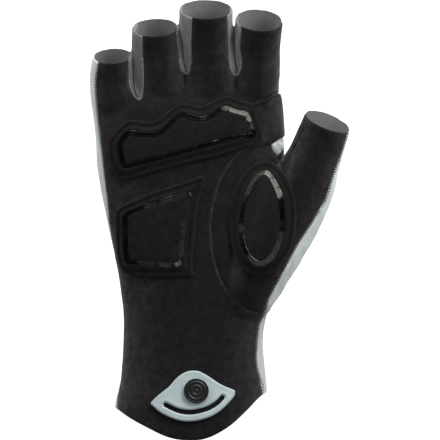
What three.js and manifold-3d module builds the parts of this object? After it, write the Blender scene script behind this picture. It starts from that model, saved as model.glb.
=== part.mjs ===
// Half-finger paddling glove, right hand, in the form that it has when worn.
// Millimetres. +Z runs from the wrist to the fingers, the palm faces -Y and the thumb is towards +X.
// The origin is the centre of the wrist opening.

import * as THREE from 'three';
import { mergeVertices } from 'three/addons/utils/BufferGeometryUtils.js';
import Module from 'manifold-3d';

const wasm = await Module();
wasm.setup();

// Main sizes of the glove
const palmBreadth = 96;
const handReach = 200;
const palmDepth = 32;

// Fabric and seams
const wall = 1.6;
const seamGap = 0.3;
const slitWidth = 0.7;
const sideSeamWrap = 7;
const overlayWrap = 5;

// Pads and the grip lines printed on them
const padRise = 2.6;
const printRise = 0.8;
const printWidth = 2.1;
const knucklePadWidth = 77.3;
const knucklePadHeight = 41.6;
const heelPadWidth = 44.6;
const heelPadHeight = 50.2;
const thumbPadWidth = 33.3;
const thumbPadHeight = 56.9;
const thumbPrintWidth = 22.4;
const thumbPrintHeight = 47;
const thumbPadLean = THREE.MathUtils.degToRad(3.4);

// Rubber patch and press snap on the cuff
const patchWidth = 41.6;
const patchHeight = 25.2;
const patchThickness = 1.6;
const slotWidth = 2.3;
const snapDiameter = 12.4;
const snapHeight = 2.4;
const snapGroove = 0.5;

// Fineness of the facets
const bodySides = 28;
const fingerSides = 16;
const curveSteps = 3;
const loopSteps = 1;
const ovalSides = 32;
const snapSides = 28;
const arcSteps = 20;

// Blocks that cut the fabric reach past it: lengths, then percent of the breadth and of the reach.
const openingPass = 6;
const clearDepth = 60;
const clearSide = 12;
const clearSeam = 1;
const farAcross = 100;
const farUp = 110;
const farDown = -50;

// An outline moved inwards or outwards: the sharpest corner that it follows, and how near a point may lie.
const leastSpread = 0.5;
const leastAway = 0.97;

// Outline of the palm and cuff, from below the hem to the finger roots.
// up: percent of handReach. left, right: percent of palmBreadth. front, back: percent of palmDepth.
const bodyRows = [
  { up: -12, left: 39.9, right: 40, front: 78, back: 75 },
  { up: -2, left: 39.6, right: 39.9, front: 76, back: 74 },
  { up: 5.3, left: 36.7, right: 39, front: 70, back: 69 },
  { up: 13.3, left: 35.5, right: 37.8, front: 64, back: 62 },
  { up: 20, left: 35.3, right: 39.5, front: 62, back: 58 },
  { up: 27.5, left: 36.8, right: 43.2, front: 62, back: 55 },
  { up: 37.5, left: 40.5, right: 47.8, front: 61, back: 52 },
  { up: 47.5, left: 45.1, right: 49.4, front: 58, back: 50 },
  { up: 57.5, left: 48.9, right: 49.1, front: 55, back: 48 },
  { up: 65, left: 49.8, right: 48.5, front: 52, back: 47 },
  { up: 72, left: 51.5, right: 47.8, front: 46, back: 43 },
  { up: 75.5, left: 52, right: 47, front: 38, back: 36 },
  { up: 77.5, left: 51, right: 46, front: 29, back: 28 },
  { up: 79, left: 50, right: 45, front: 19, back: 19 },
];
const bodySquareness = 2.5;

// Tubes of the fingers and the thumb, each row a section from the root to the opening.
// up: percent of handReach. across, half: percent of palmBreadth. deep, forward: percent of palmDepth.
const tubes = {
  little: {
    curl: 26, lean: -3,
    rows: [
      { up: 67.5, across: -36, half: 9, deep: 27, forward: 0 },
      { up: 74.5, across: -39, half: 13, deep: 34, forward: 3 },
      { up: 81, across: -41.2, half: 11.8, deep: 29, forward: 8 },
      { up: 85.9, across: -40.9, half: 10.2, deep: 26.5, forward: 20 },
    ],
  },
  ring: {
    curl: 27, lean: -1.6,
    rows: [
      { up: 72, across: -15.3, half: 14, deep: 35, forward: 0 },
      { up: 80, across: -16.1, half: 15, deep: 37.5, forward: 2 },
      { up: 87, across: -17.7, half: 13.5, deep: 33, forward: 9 },
      { up: 93, across: -18.7, half: 12, deep: 30.6, forward: 25 },
    ],
  },
  middle: {
    curl: 27.5, lean: 0.6,
    rows: [
      { up: 73, across: 10.4, half: 15.5, deep: 35, forward: 0 },
      { up: 81, across: 10.3, half: 15.5, deep: 37.5, forward: 3 },
      { up: 89, across: 7.8, half: 14.4, deep: 34, forward: 11 },
      { up: 97.5, across: 7.8, half: 13.9, deep: 32, forward: 34 },
    ],
  },
  index: {
    curl: 31, lean: 5,
    rows: [
      { up: 70, across: 32.5, half: 11, deep: 29, forward: 0 },
      { up: 80.5, across: 34, half: 12.5, deep: 37.5, forward: 3 },
      { up: 87.5, across: 34.1, half: 12.5, deep: 34, forward: 11 },
      { up: 94.8, across: 35.5, half: 12.3, deep: 32.5, forward: 31 },
    ],
  },
  thumb: {
    curl: 18, lean: 21.5,
    rows: [
      { up: 13.8, across: 13, half: 10, deep: 34, forward: 8 },
      { up: 25, across: 25.5, half: 16.2, deep: 43, forward: 17 },
      { up: 34.5, across: 35.9, half: 18.1, deep: 52, forward: 25 },
      { up: 44.5, across: 48.4, half: 18.1, deep: 47, forward: 30 },
      { up: 53, across: 57.5, half: 16.9, deep: 42, forward: 34 },
      { up: 61.3, across: 64.8, half: 14, deep: 38, forward: 39 },
      { up: 69.4, across: 71, half: 12.7, deep: 34.4, forward: 50 },
    ],
  },
};
const tubeSquareness = 2.15;

// Outlines seen from the palm side: [across, up] in percent of palmBreadth and of handReach.
const hemCurve = [
  [-46, -0.5], [-39.6, -2], [-32.8, -4.1], [-25.5, -6], [-12.6, -8.9], [-1.7, -9.8],
  [8.8, -9.2], [19.8, -6.4], [29, -2.5], [34.8, 0.3], [39.9, 1.9], [46, 2.5],
];
const outerSideSeam = [
  [-40, -14], [-38.4, -0.5], [-36, 7.8], [-37.4, 17.5], [-38.5, 23.3], [-40, 30], [-43.2, 37.5],
  [-42.6, 42.5], [-43.5, 50], [-45.2, 57], [-46.9, 63.3], [-48.6, 69.8], [-49.9, 79.3],
  [-48.4, 83.9], [-48.4, 90],
];
const thumbCrotch = [
  [51.5, 66.5], [47.2, 65.6], [45, 64.8], [42.2, 64], [42.6, 63], [43.9, 61.9], [45.9, 60.8],
  [48.9, 62.4], [51, 64.8], [55, 68.3], [56.7, 72],
];
const thumbSideSeam = [
  [85.8, 72], [81.4, 66.5], [77.8, 61], [73.8, 55.6], [70.1, 50.1], [64, 45.3], [54.7, 38.5],
  [46, 30.5], [40.1, 25.2], [38.7, 22.3], [35.4, 18.5], [34.4, 14], [33.9, 10.5], [34.8, 7.5],
  [36.2, 5.3], [38, 1.4], [40, -14],
];
const aboveFingers = [[-48.4, 110], [56, 110]];
const aboveThumb = [[58, 80], [85.8, 80]];
const besideThumb = [[100, 85], [53, 85], [48, 63.8]];
const overlayOutline = [
  [28.6, 73.6], [31.5, 74], [35.2, 74.6], [39.2, 75.5], [42.5, 76.5], [47.4, 77], [51, 77.5],
  [51, 67.3], [47.2, 65.6], [45, 64.8], [42.2, 64], [36.9, 63.6], [28.6, 62.9],
];
const gussetOutline = [
  [55.6, 68.5], [58.6, 67.8], [55.2, 64.5], [53, 62.6], [51.5, 60], [50.4, 57.5], [46.5, 59.3],
  [45.5, 60.8], [48.4, 62.5], [52, 65.5],
];

// Slits between the fingers and the side strips along them, from the fork of the fingers upwards.
const forks = {
  little_ring: {
    slit: [[-28.1, 74.6], [-29.9, 77.5], [-30.7, 82.5], [-30.8, 99]],
    strip: [
      [-32.5, 99], [-32.5, 79.8], [-31.7, 77], [-29.4, 74.8], [-27.2, 73.7], [-25.5, 74.9],
      [-24.7, 79.6], [-25.1, 85.7], [-25.3, 99],
    ],
  },
  ring_middle: {
    slit: [[-2.9, 81], [-4.1, 84.3], [-4.6, 89.1], [-6.2, 93], [-6.5, 103]],
    strip: [
      [-7.8, 103], [-7.5, 91.8], [-6.5, 87.3], [-6, 83.5], [-4.8, 81.4], [-2.8, 80],
      [-0.8, 81.1], [0, 84.8], [-0.1, 88.9], [0.4, 95.1], [0.4, 103],
    ],
  },
  middle_index: {
    slit: [[23.9, 80.9], [22.8, 84.5], [22.2, 90], [22.4, 103]],
    strip: [
      [18.9, 103], [18.9, 95.5], [19.3, 88.9], [19.8, 84.1], [21.1, 81.1], [23.6, 79.7],
      [25.7, 81.5], [26.4, 84.1], [25.4, 87.9], [26.1, 92.3], [26.1, 103],
    ],
  },
};

// Curved seam round the thumb base: an ellipse in the same percentages.
const thumbArc = { across: 36.9, up: 42.8, halfAcross: 26.5, halfUp: 21 };
const cuffLine = 23.3;

// Places of the pads and the patch: the middle of each, in the same percentages.
const knucklePadPlace = { across: -2.9, up: 65.4 };
const heelPadPlace = { across: -15.9, up: 43.5 };
const thumbPadPlace = { across: 37.1, up: 45.4 };
const patchPlace = { across: 1, up: 1.25 };

// Outlines of the pads and the patch: [across, up] in percent of each one's own width and height.
const knucklePadOutline = [
  [-50, -11.5], [-50, -3.8], [-46.8, 4.6], [-42.3, 13.9], [-38.2, 20.6], [-32.7, 21.6],
  [-24.1, 19.4], [-17.2, 22.6], [-10.5, 33.3], [-4.5, 40.3], [1, 41.1], [10, 37.7],
  [15.5, 41.9], [22.8, 48.7], [28.2, 50], [35.4, 45.3], [42.7, 41.1], [46.2, 25.7],
  [50, 0.5], [48.2, -5.5], [35.4, -13.7], [17.3, -23.8], [-0.8, -31.4], [-19, -40.6],
  [-37.1, -50], [-43, -47.6], [-46.8, -38.5], [-49.1, -26.6],
];
const knucklePrintOutline = [
  [-43.1, -10.3], [-42.6, -5.3], [-38, 6.5], [-34.4, 9], [-28.1, 6.5], [-19, 6.5],
  [-14.5, 10.7], [-9.9, 20.1], [-4.5, 29.3], [1, 28.5], [8.2, 25.1], [14.6, 26.8],
  [24.6, 37.1], [32.7, 33.5], [40.9, 29.3], [42.2, 20.1], [45.4, 2.9], [35.4, -1.9],
  [26.4, -5.3], [8.2, -14.5], [-9.9, -23.8], [-29.9, -33.1], [-37.1, -36.4],
  [-39.8, -33.9], [-41.7, -23.8],
];
const heelPadOutline = [
  [-50, 12.3], [-46.9, 17.1], [-40.6, 21.4], [-29.6, 25.6], [-13.8, 31.9], [1.9, 36.8],
  [17.6, 41], [35.4, 46.1], [44.3, 49.6], [49.9, 47], [42.1, 21.1], [38.7, -4.8],
  [36.5, -25.7], [35.8, -43.7], [32, -50], [-26.4, -50], [-41.4, -44.7], [-46.9, -34.2],
  [-49.3, -15.4],
];
const heelPrintOutline = [
  [-38.3, 13], [-33.6, 15.8], [-9.9, 23.5], [9.8, 29.1], [29.5, 34], [35.8, 34.4],
  [31.9, 16.2], [28.6, -4.8], [26.3, -25.7], [24.7, -38.1], [13.7, -41.2], [-5.9, -40.5],
  [-21.8, -39.1], [-34.3, -36.7], [-38.3, -29.3], [-39.4, -11.8], [-39.8, 9.2],
];
const patchOutline = [
  [-50, -14.5], [-40.3, 1.8], [-28.6, 17.4], [-18, 37], [-6.7, 47.9], [4.9, 49.1],
  [15.6, 41.6], [33.4, 22.2], [48.7, 10.9], [49.8, 4], [47.2, -5.3], [29.7, -33.1],
  [7.8, -47.9], [-13.9, -49.1], [-35.8, -35.4], [-46.9, -20.8],
];
const slotLine = [
  [-32.6, -17.4], [-17.7, -28.7], [-2.4, -32.1], [15.1, -26.3], [27.6, -15.4], [35.2, -3],
];
const snapPlace = { across: 4.2, up: 8.7 };

const suedeBlack = { color: 0x242222, roughness: 0.95, metalness: 0 };
const silverKnit = { color: 0xc8cfcd, roughness: 0.8, metalness: 0 };
const warmKnit = { color: 0xc3bebe, roughness: 0.85, metalness: 0 };
const greyRib = { color: 0x66666a, roughness: 0.85, metalness: 0 };
const glossPrint = { color: 0x0a0a0a, roughness: 0.15, metalness: 0 };
const paleRubber = { color: 0xb4c1c3, roughness: 0.5, metalness: 0 };
const snapBlack = { color: 0x18191b, roughness: 0.4, metalness: 0 };

const broad = (percent) => (percent / 100) * palmBreadth;
const reach = (percent) => (percent / 100) * handReach;
const depth = (percent) => (percent / 100) * palmDepth;

// A closed mesh with merged corners becomes a solid for joining and cutting.
function toSolid(geometry) {
  const bare = geometry.clone();
  bare.deleteAttribute('normal');
  bare.deleteAttribute('uv');
  const merged = mergeVertices(bare, 1e-4);
  const mesh = new wasm.Mesh({
    numProp: 3,
    vertProperties: new Float32Array(merged.attributes.position.array),
    triVerts: new Uint32Array(merged.index.array),
  });
  return new wasm.Manifold(mesh);
}

// The triangles of the largest body of a mesh: a seam that runs out at an edge can leave a sliver apart.
function mainBody(triangles, count) {
  const owner = Array.from({ length: count }, (_, index) => index);
  const root = (index) => {
    let top = index;
    while (owner[top] !== top) {
      top = owner[top];
    }
    owner[index] = top;
    return top;
  };
  for (let corner = 0; corner < triangles.length; corner += 3) {
    owner[root(triangles[corner])] = root(triangles[corner + 1]);
    owner[root(triangles[corner + 1])] = root(triangles[corner + 2]);
  }
  const bodies = new Map();
  for (let corner = 0; corner < triangles.length; corner += 3) {
    const body = root(triangles[corner]);
    bodies.set(body, [...(bodies.get(body) ?? []), ...triangles.slice(corner, corner + 3)]);
  }
  return [...bodies.values()].reduce((most, body) => (body.length > most.length ? body : most));
}

function toGeometry(solid) {
  const mesh = solid.getMesh();
  const geometry = new THREE.BufferGeometry();
  const corners = new Float32Array(mesh.vertProperties);
  geometry.setAttribute('position', new THREE.BufferAttribute(corners, 3));
  geometry.setIndex(mainBody(mesh.triVerts, corners.length / 3));
  geometry.computeVertexNormals();
  return geometry;
}

const join = (solids) => solids.reduce((whole, next) => whole.add(next));

// One section: its middle, the direction of the tube there and its four half sizes.
// The corner function gives a point for each angle, so a section can be round or square.
function sectionRing(section, grow, sides, corner) {
  const side = new THREE.Vector3(0, 1, 0).cross(section.along).normalize();
  const rear = section.along.clone().cross(side);
  const points = [];
  for (let step = 0; step < sides; step += 1) {
    const { across, deep } = corner(section, grow, (2 * Math.PI * step) / sides);
    points.push(section.middle.clone().addScaledVector(side, across).addScaledVector(rear, deep));
  }
  return points;
}

function roundCorner(section, grow, angle) {
  const bend = (value) => Math.sign(value) * Math.abs(value) ** (2 / section.squareness);
  const across = bend(Math.cos(angle));
  const deep = bend(Math.sin(angle));
  return {
    across: across * ((across > 0 ? section.right : section.left) + grow),
    deep: deep * ((deep > 0 ? section.back : section.front) + grow),
  };
}

// The palm-side half of a section, out to well past the fabric; its back edge lies on the side seam.
function halfCorner(section, grow, angle) {
  const diagonal = angle + Math.PI / 4;
  const right = section.right + clearSeam + grow;
  const left = -section.left - clearSeam - grow;
  return {
    across: Math.cos(diagonal) > 0 ? right : left,
    deep: Math.sin(diagonal) > 0 ? grow : -section.front - clearSide,
  };
}

function loft(rings) {
  const sides = rings[0].length;
  const positions = rings.flat().flatMap((point) => point.toArray());
  const indices = [];
  for (let level = 0; level + 1 < rings.length; level += 1) {
    for (let step = 0; step < sides; step += 1) {
      const low = level * sides + step;
      const lowNext = level * sides + ((step + 1) % sides);
      indices.push(low, lowNext, lowNext + sides, low, lowNext + sides, low + sides);
    }
  }
  const bottom = positions.length / 3;
  const top = bottom + 1;
  const topStart = (rings.length - 1) * sides;
  for (const ring of [rings[0], rings[rings.length - 1]]) {
    const middle = ring.reduce((sum, point) => sum.add(point), new THREE.Vector3()).divideScalar(sides);
    positions.push(...middle.toArray());
  }
  for (let step = 0; step < sides; step += 1) {
    const next = (step + 1) % sides;
    indices.push(bottom, next, step, top, topStart + step, topStart + next);
  }
  const geometry = new THREE.BufferGeometry();
  geometry.setAttribute('position', new THREE.Float32BufferAttribute(positions, 3));
  geometry.setIndex(indices);
  return toSolid(geometry);
}

const bodySections = bodyRows.map((row) => ({
  middle: new THREE.Vector3(0, 0, reach(row.up)),
  along: new THREE.Vector3(0, 0, 1),
  left: broad(row.left),
  right: broad(row.right),
  front: depth(row.front),
  back: depth(row.back),
  squareness: bodySquareness,
}));

// The sections of a finger or thumb stand square to its bent middle line, the last one square to the tip.
function tubeSections(tube) {
  const middles = tube.rows.map((row) => new THREE.Vector3(
    broad(row.across),
    -depth(row.forward),
    reach(row.up),
  ));
  const line = new THREE.CatmullRomCurve3(middles);
  const last = tube.rows.length - 1;
  const curl = THREE.MathUtils.degToRad(tube.curl);
  const lean = THREE.MathUtils.degToRad(tube.lean);
  const tip = new THREE.Vector3(
    Math.sin(lean) * Math.cos(curl),
    -Math.sin(curl),
    Math.cos(lean) * Math.cos(curl),
  );
  return tube.rows.map((row, index) => ({
    middle: middles[index],
    along: index === last ? tip : line.getTangent(index / last),
    left: broad(row.half),
    right: broad(row.half),
    front: depth(row.deep),
    back: depth(row.deep),
    squareness: tubeSquareness,
  }));
}

// A tube runs past its opening by the given length, straight on.
function passOpening(sections, length) {
  const end = sections[sections.length - 1];
  const past = { ...end, middle: end.middle.clone().addScaledVector(end.along, length) };
  return length > 0 ? [...sections, past] : sections;
}

// The whole glove as one filled form, grown outwards or shrunk by a length.
function gloveForm(grow, past, corner = roundCorner, squareSides = 0) {
  const topDrop = new THREE.Vector3(0, 0, Math.min(grow, 0));
  const body = bodySections.map((section, level) => (
    level === bodySections.length - 1
      ? { ...section, middle: section.middle.clone().add(topDrop) }
      : section
  ));
  const loftOf = (sections, sides) => (
    loft(sections.map((section) => sectionRing(section, grow, squareSides || sides, corner)))
  );
  const parts = [loftOf(body, bodySides)];
  for (const tube of Object.values(tubes)) {
    parts.push(loftOf(passOpening(tubeSections(tube), past), fingerSides));
  }
  return join(parts);
}

const onPalm = (rows) => rows.map(([across, up]) => new THREE.Vector2(broad(across), reach(up)));

function onPiece(rows, place, width, height) {
  const middle = new THREE.Vector2(broad(place.across), reach(place.up));
  return rows.map(([across, up]) => new THREE.Vector2(
    middle.x + (across / 100) * width,
    middle.y + (up / 100) * height,
  ));
}

const smooth = (points) => new THREE.SplineCurve(points).getPoints((points.length - 1) * curveSteps);

// A closed outline with a smooth curve through its points.
function smoothLoop(points, steps) {
  const flat = points.map((point) => new THREE.Vector3(point.x, point.y, 0));
  const closed = new THREE.CatmullRomCurve3(flat, true);
  const along = closed.getPoints(points.length * steps).slice(0, -1);
  return along.map((point) => new THREE.Vector2(point.x, point.y));
}

// Shortest way from a point to a closed outline.
function awayFrom(points, point) {
  const nearest = new THREE.Vector3();
  const spot = new THREE.Vector3(point.x, point.y, 0);
  const ways = points.map((start, index) => {
    const end = points[(index + 1) % points.length];
    const low = new THREE.Vector3(start.x, start.y, 0);
    const high = new THREE.Vector3(end.x, end.y, 0);
    const edge = new THREE.Line3(low, high);
    return edge.closestPointToPoint(spot, true, nearest).distanceTo(spot);
  });
  return Math.min(...ways);
}

// Moves each point of a closed outline outwards, square to the outline.
// Points that a tight corner would fold back towards the outline are left out.
function growOutline(points, length) {
  const turn = THREE.ShapeUtils.isClockWise(points) ? -1 : 1;
  const moved = points.map((point, index) => {
    const before = points[(index + points.length - 1) % points.length];
    const after = points[(index + 1) % points.length];
    const into = point.clone().sub(before).normalize();
    const out = after.clone().sub(point).normalize();
    const normal = new THREE.Vector2(into.y + out.y, -into.x - out.x).normalize();
    const spread = Math.max(normal.dot(new THREE.Vector2(into.y, -into.x)), leastSpread);
    return point.clone().addScaledVector(normal, (turn * length) / spread);
  });
  return moved.filter((point) => awayFrom(points, point) >= Math.abs(length) * leastAway);
}

// A block with the given outline, standing through the glove from the palm side to a depth behind.
function block(points, backAt = clearDepth) {
  const shape = new THREE.Shape(points);
  const geometry = new THREE.ExtrudeGeometry(shape, { depth: clearDepth + backAt, bevelEnabled: false });
  geometry.rotateX(Math.PI / 2);
  geometry.translate(0, backAt, 0);
  return toSolid(geometry);
}

// A band of even width along a line, lengthened past its start.
function band(points, width, extra = 0) {
  const first = points[0].clone().sub(points[1]).setLength(extra).add(points[0]);
  const line = extra > 0 ? [first, ...points] : points;
  const sides = [[], []];
  line.forEach((point, index) => {
    const before = line[Math.max(index - 1, 0)];
    const after = line[Math.min(index + 1, line.length - 1)];
    const along = after.clone().sub(before).normalize();
    const square = new THREE.Vector2(-along.y, along.x).multiplyScalar(width / 2);
    sides[0].push(point.clone().add(square));
    sides[1].unshift(point.clone().sub(square));
  });
  return sides.flat();
}

function ovalLoop(place, width, height, lean, count) {
  const middle = new THREE.Vector2(broad(place.across), reach(place.up));
  const points = [];
  for (let step = 0; step < count; step += 1) {
    const angle = (2 * Math.PI * step) / count;
    const point = new THREE.Vector2((width / 2) * Math.cos(angle), (height / 2) * Math.sin(angle));
    points.push(point.rotateAround(new THREE.Vector2(), -lean).add(middle));
  }
  return points;
}

// Fabric: the outer form less the hollow, both slit between the fingers, and cut along the hem.
const slits = Object.values(forks).map((fork) => onPalm(fork.slit));
const slitOuter = join(slits.map((slit) => block(band(smooth(slit), slitWidth))));
const slitInner = join(slits.map((slit) => block(band(smooth(slit), slitWidth + 2 * wall, wall))));
const hemLine = smooth(onPalm(hemCurve));
const aboveHem = block([
  ...hemLine,
  ...onPalm([[farAcross, 0], [farAcross, farUp], [-farAcross, farUp], [-farAcross, 0]]),
]);
const hollow = gloveForm(-wall, openingPass).subtract(slitInner);
const fabric = gloveForm(0, 0).subtract(slitOuter).subtract(hollow).intersect(aboveHem);

// Zones of the front, each as a solid, grown by a gap where a neighbour is cut by it.
const halfForm = (grow) => gloveForm(grow, openingPass, halfCorner, 4);

// The front outline runs up the outer side, over the fingers, down between index and thumb, and on.
const frontOutline = onPalm([
  ...outerSideSeam,
  ...aboveFingers,
  ...thumbCrotch,
  ...aboveThumb,
  ...thumbSideSeam,
]);

const thumbArcPoints = [];
for (let step = 0; step <= arcSteps; step += 1) {
  const angle = Math.PI / 2 + (Math.PI * step) / arcSteps;
  thumbArcPoints.push(new THREE.Vector2(
    broad(thumbArc.across + thumbArc.halfAcross * Math.cos(angle)),
    reach(thumbArc.up + thumbArc.halfUp * Math.sin(angle)),
  ));
}
const thumbOutline = [
  ...thumbArcPoints,
  ...onPalm([[farAcross, thumbArc.up - thumbArc.halfUp], ...besideThumb]),
];

const stripZone = (name, grow) => (
  block(growOutline(onPalm(forks[name].strip), grow)).intersect(halfForm(sideSeamWrap + grow))
);
const overlayZone = (grow) => block(growOutline(onPalm(overlayOutline), grow), overlayWrap + grow);
const gussetZone = (grow) => (
  block(growOutline(onPalm(gussetOutline), grow)).intersect(halfForm(sideSeamWrap + grow))
);
const frontZone = (grow) => block(growOutline(frontOutline, grow)).intersect(halfForm(grow));
const thumbZone = (grow) => block(growOutline(thumbOutline, grow)).intersect(frontZone(grow));
const cuffZone = (grow) => block([
  ...onPalm([[-farAcross, farDown], [farAcross, farDown]]),
  new THREE.Vector2(broad(farAcross), reach(cuffLine) + grow),
  new THREE.Vector2(broad(-farAcross), reach(cuffLine) + grow),
]);

const solids = {};
const forkNames = Object.keys(forks);
const stripsGrown = join(forkNames.map((name) => stripZone(name, seamGap)));
for (const name of forkNames) {
  solids[`fourchette_${name}`] = fabric.intersect(stripZone(name, 0));
}
solids.index_overlay = fabric.intersect(overlayZone(0)).subtract(stripsGrown);
const sideGrown = stripsGrown.add(overlayZone(seamGap));
solids.thumb_gusset = fabric.intersect(gussetZone(0)).subtract(sideGrown);
const webGrown = sideGrown.add(gussetZone(seamGap));
solids.thumb_panel = fabric.intersect(thumbZone(0)).subtract(webGrown);
const thumbGrown = webGrown.add(thumbZone(seamGap));
solids.palm_panel = fabric.intersect(frontZone(0)).subtract(thumbGrown);
const rear = fabric.subtract(thumbGrown.add(frontZone(seamGap)));
solids.back_panel = rear.subtract(cuffZone(seamGap));
solids.cuff_back = rear.intersect(cuffZone(0));

// A layer lies on the fabric between two heights, inside an outline seen from the palm side.
function layer(outline, low, high) {
  const skin = gloveForm(high, 0).subtract(gloveForm(low, 0));
  return skin.intersect(block(outline, 0));
}

const padTop = seamGap + padRise;
const printLow = padTop + seamGap;
const printTop = printLow + printRise;

function printRing(outline) {
  return layer(outline, printLow, printTop).subtract(block(growOutline(outline, -printWidth), 0));
}

const knuckleLoop = smoothLoop(
  onPiece(knucklePadOutline, knucklePadPlace, knucklePadWidth, knucklePadHeight),
  loopSteps,
);
const knucklePrintLoop = smoothLoop(
  onPiece(knucklePrintOutline, knucklePadPlace, knucklePadWidth, knucklePadHeight),
  loopSteps,
);
const heelLoop = smoothLoop(onPiece(heelPadOutline, heelPadPlace, heelPadWidth, heelPadHeight), loopSteps);
const heelPrintLoop = smoothLoop(
  onPiece(heelPrintOutline, heelPadPlace, heelPadWidth, heelPadHeight),
  loopSteps,
);
solids.knuckle_pad = layer(knuckleLoop, seamGap, padTop);
solids.heel_pad = layer(heelLoop, seamGap, padTop);
solids.thumb_pad = layer(
  ovalLoop(thumbPadPlace, thumbPadWidth, thumbPadHeight, thumbPadLean, ovalSides),
  seamGap,
  padTop,
);
solids.knuckle_print = printRing(knucklePrintLoop);
solids.heel_print = printRing(heelPrintLoop);
solids.thumb_print = printRing(
  ovalLoop(thumbPadPlace, thumbPrintWidth, thumbPrintHeight, thumbPadLean, ovalSides),
);

// Patch on the cuff, with its slot, and the snap seated on it.
const patchTop = seamGap + patchThickness;
const patchLoop = smoothLoop(
  onPiece(patchOutline, patchPlace, patchWidth, patchHeight),
  2 * loopSteps,
);
const slotLoop = band(smooth(onPiece(slotLine, patchPlace, patchWidth, patchHeight)), slotWidth);
solids.snap_patch = layer(patchLoop, seamGap, patchTop).subtract(block(slotLoop, 0));

// Half profile of the snap from its middle out: a raised button, a groove and a flat rim.
const snapRadius = snapDiameter / 2;
const snapTop = snapHeight + snapGroove;
const snapProfile = [
  { share: 0, height: -snapHeight },
  { share: 1, height: -snapHeight },
  { share: 1, height: snapHeight },
  { share: 0.94, height: snapTop },
  { share: 0.74, height: snapTop },
  { share: 0.7, height: snapHeight },
  { share: 0.52, height: snapHeight },
  { share: 0.46, height: snapTop },
  { share: 0, height: snapTop },
].map((row) => new THREE.Vector2(row.share * snapRadius, row.height));
const snapMiddle = onPiece([[snapPlace.across, snapPlace.up]], patchPlace, patchWidth, patchHeight)[0];
const snapGeometry = new THREE.LatheGeometry(snapProfile, snapSides);
snapGeometry.rotateX(Math.PI);
const cuffFront = depth(bodyRows[1].front);
snapGeometry.translate(snapMiddle.x, -cuffFront - patchTop, snapMiddle.y);
solids.snap = toSolid(snapGeometry).subtract(gloveForm(patchTop + seamGap, 0));

const materialOf = {
  palm_panel: suedeBlack,
  index_overlay: suedeBlack,
  thumb_panel: suedeBlack,
  thumb_gusset: suedeBlack,
  fourchette_little_ring: greyRib,
  fourchette_ring_middle: greyRib,
  fourchette_middle_index: greyRib,
  back_panel: silverKnit,
  cuff_back: warmKnit,
  knuckle_pad: suedeBlack,
  heel_pad: suedeBlack,
  thumb_pad: suedeBlack,
  knuckle_print: glossPrint,
  heel_print: glossPrint,
  thumb_print: glossPrint,
  snap_patch: paleRubber,
  snap: snapBlack,
};

const group = new THREE.Group();
for (const [name, solid] of Object.entries(solids)) {
  const mesh = new THREE.Mesh(toGeometry(solid), new THREE.MeshStandardMaterial(materialOf[name]));
  mesh.name = name;
  group.add(mesh);
}

export default group;
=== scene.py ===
import math

import bmesh
import bpy
import numpy as np
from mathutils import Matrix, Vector, kdtree, noise
from mathutils.bvhtree import BVHTree


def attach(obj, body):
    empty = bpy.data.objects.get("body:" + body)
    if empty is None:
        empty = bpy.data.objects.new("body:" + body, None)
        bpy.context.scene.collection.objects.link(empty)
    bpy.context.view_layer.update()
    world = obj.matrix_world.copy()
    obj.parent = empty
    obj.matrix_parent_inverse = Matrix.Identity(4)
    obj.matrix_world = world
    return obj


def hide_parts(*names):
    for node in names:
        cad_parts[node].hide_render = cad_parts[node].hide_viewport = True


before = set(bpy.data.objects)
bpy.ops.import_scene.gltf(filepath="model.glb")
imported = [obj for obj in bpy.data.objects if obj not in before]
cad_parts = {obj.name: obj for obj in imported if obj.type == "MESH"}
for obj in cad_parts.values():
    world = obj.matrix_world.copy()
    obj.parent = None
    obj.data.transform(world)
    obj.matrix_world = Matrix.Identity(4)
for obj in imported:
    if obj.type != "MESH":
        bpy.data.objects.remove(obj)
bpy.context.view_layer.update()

# Half-finger paddling glove, right hand, in its worn form: the dressed surface over the fixed frame.
# Metres. +Z runs from the wrist to the fingers, the palm faces -Y and the thumb is towards +X.
MM = 0.001

# Main sizes, the same as the solids have
PALM_BREADTH = 96 * MM
HAND_REACH = 200 * MM
PALM_DEPTH = 32 * MM
WALL = 1.6 * MM
SLIT_WIDTH = 0.5 * MM
SLIT_BEND = ((-10 * MM, 0.0), (-4 * MM, 1.0 * MM))
SIDE_SEAM_WRAP = 7 * MM
OVERLAY_WRAP = 5 * MM
OPENING_PASS = 6 * MM
RIM_WALL = 0.6 * MM
TIP_PASS = 0.3 * MM
TIP_DROOP = 4
CLEAR_DEPTH = 60 * MM
CLEAR_SIDE = 12 * MM

# Fineness of the surface
SKIN_VOXEL = 0.65 * MM
BODY_SIDES = 120
TUBE_SIDES = 72
BETWEEN = 5

# Shape of the body: percent of the reach, of the breadth, and of the depth in front and behind.
BODY_COLUMNS = ("up", "left", "right", "front", "back")
BODY_ROWS = (
    (-12, 39.9, 40, 78, 75),
    (-2, 39.6, 39.9, 76, 74),
    (5.3, 36.7, 39, 70, 69),
    (13.3, 35.5, 37.8, 64, 62),
    (20, 35.3, 39.5, 62, 58),
    (27.5, 36.8, 43.2, 62, 55),
    (37.5, 40.5, 47.8, 61, 52),
    (47.5, 45.1, 49.4, 58, 50),
    (57.5, 48.9, 49.1, 55, 48),
    (65, 49.8, 48.5, 52, 47),
    (72, 51.5, 47.8, 46, 43),
    (75.5, 52, 47, 38, 36),
    (77.5, 51, 46, 29, 28),
    (79, 50, 45, 19, 19),
)
BODY_SQUARENESS = 2.5

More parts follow.
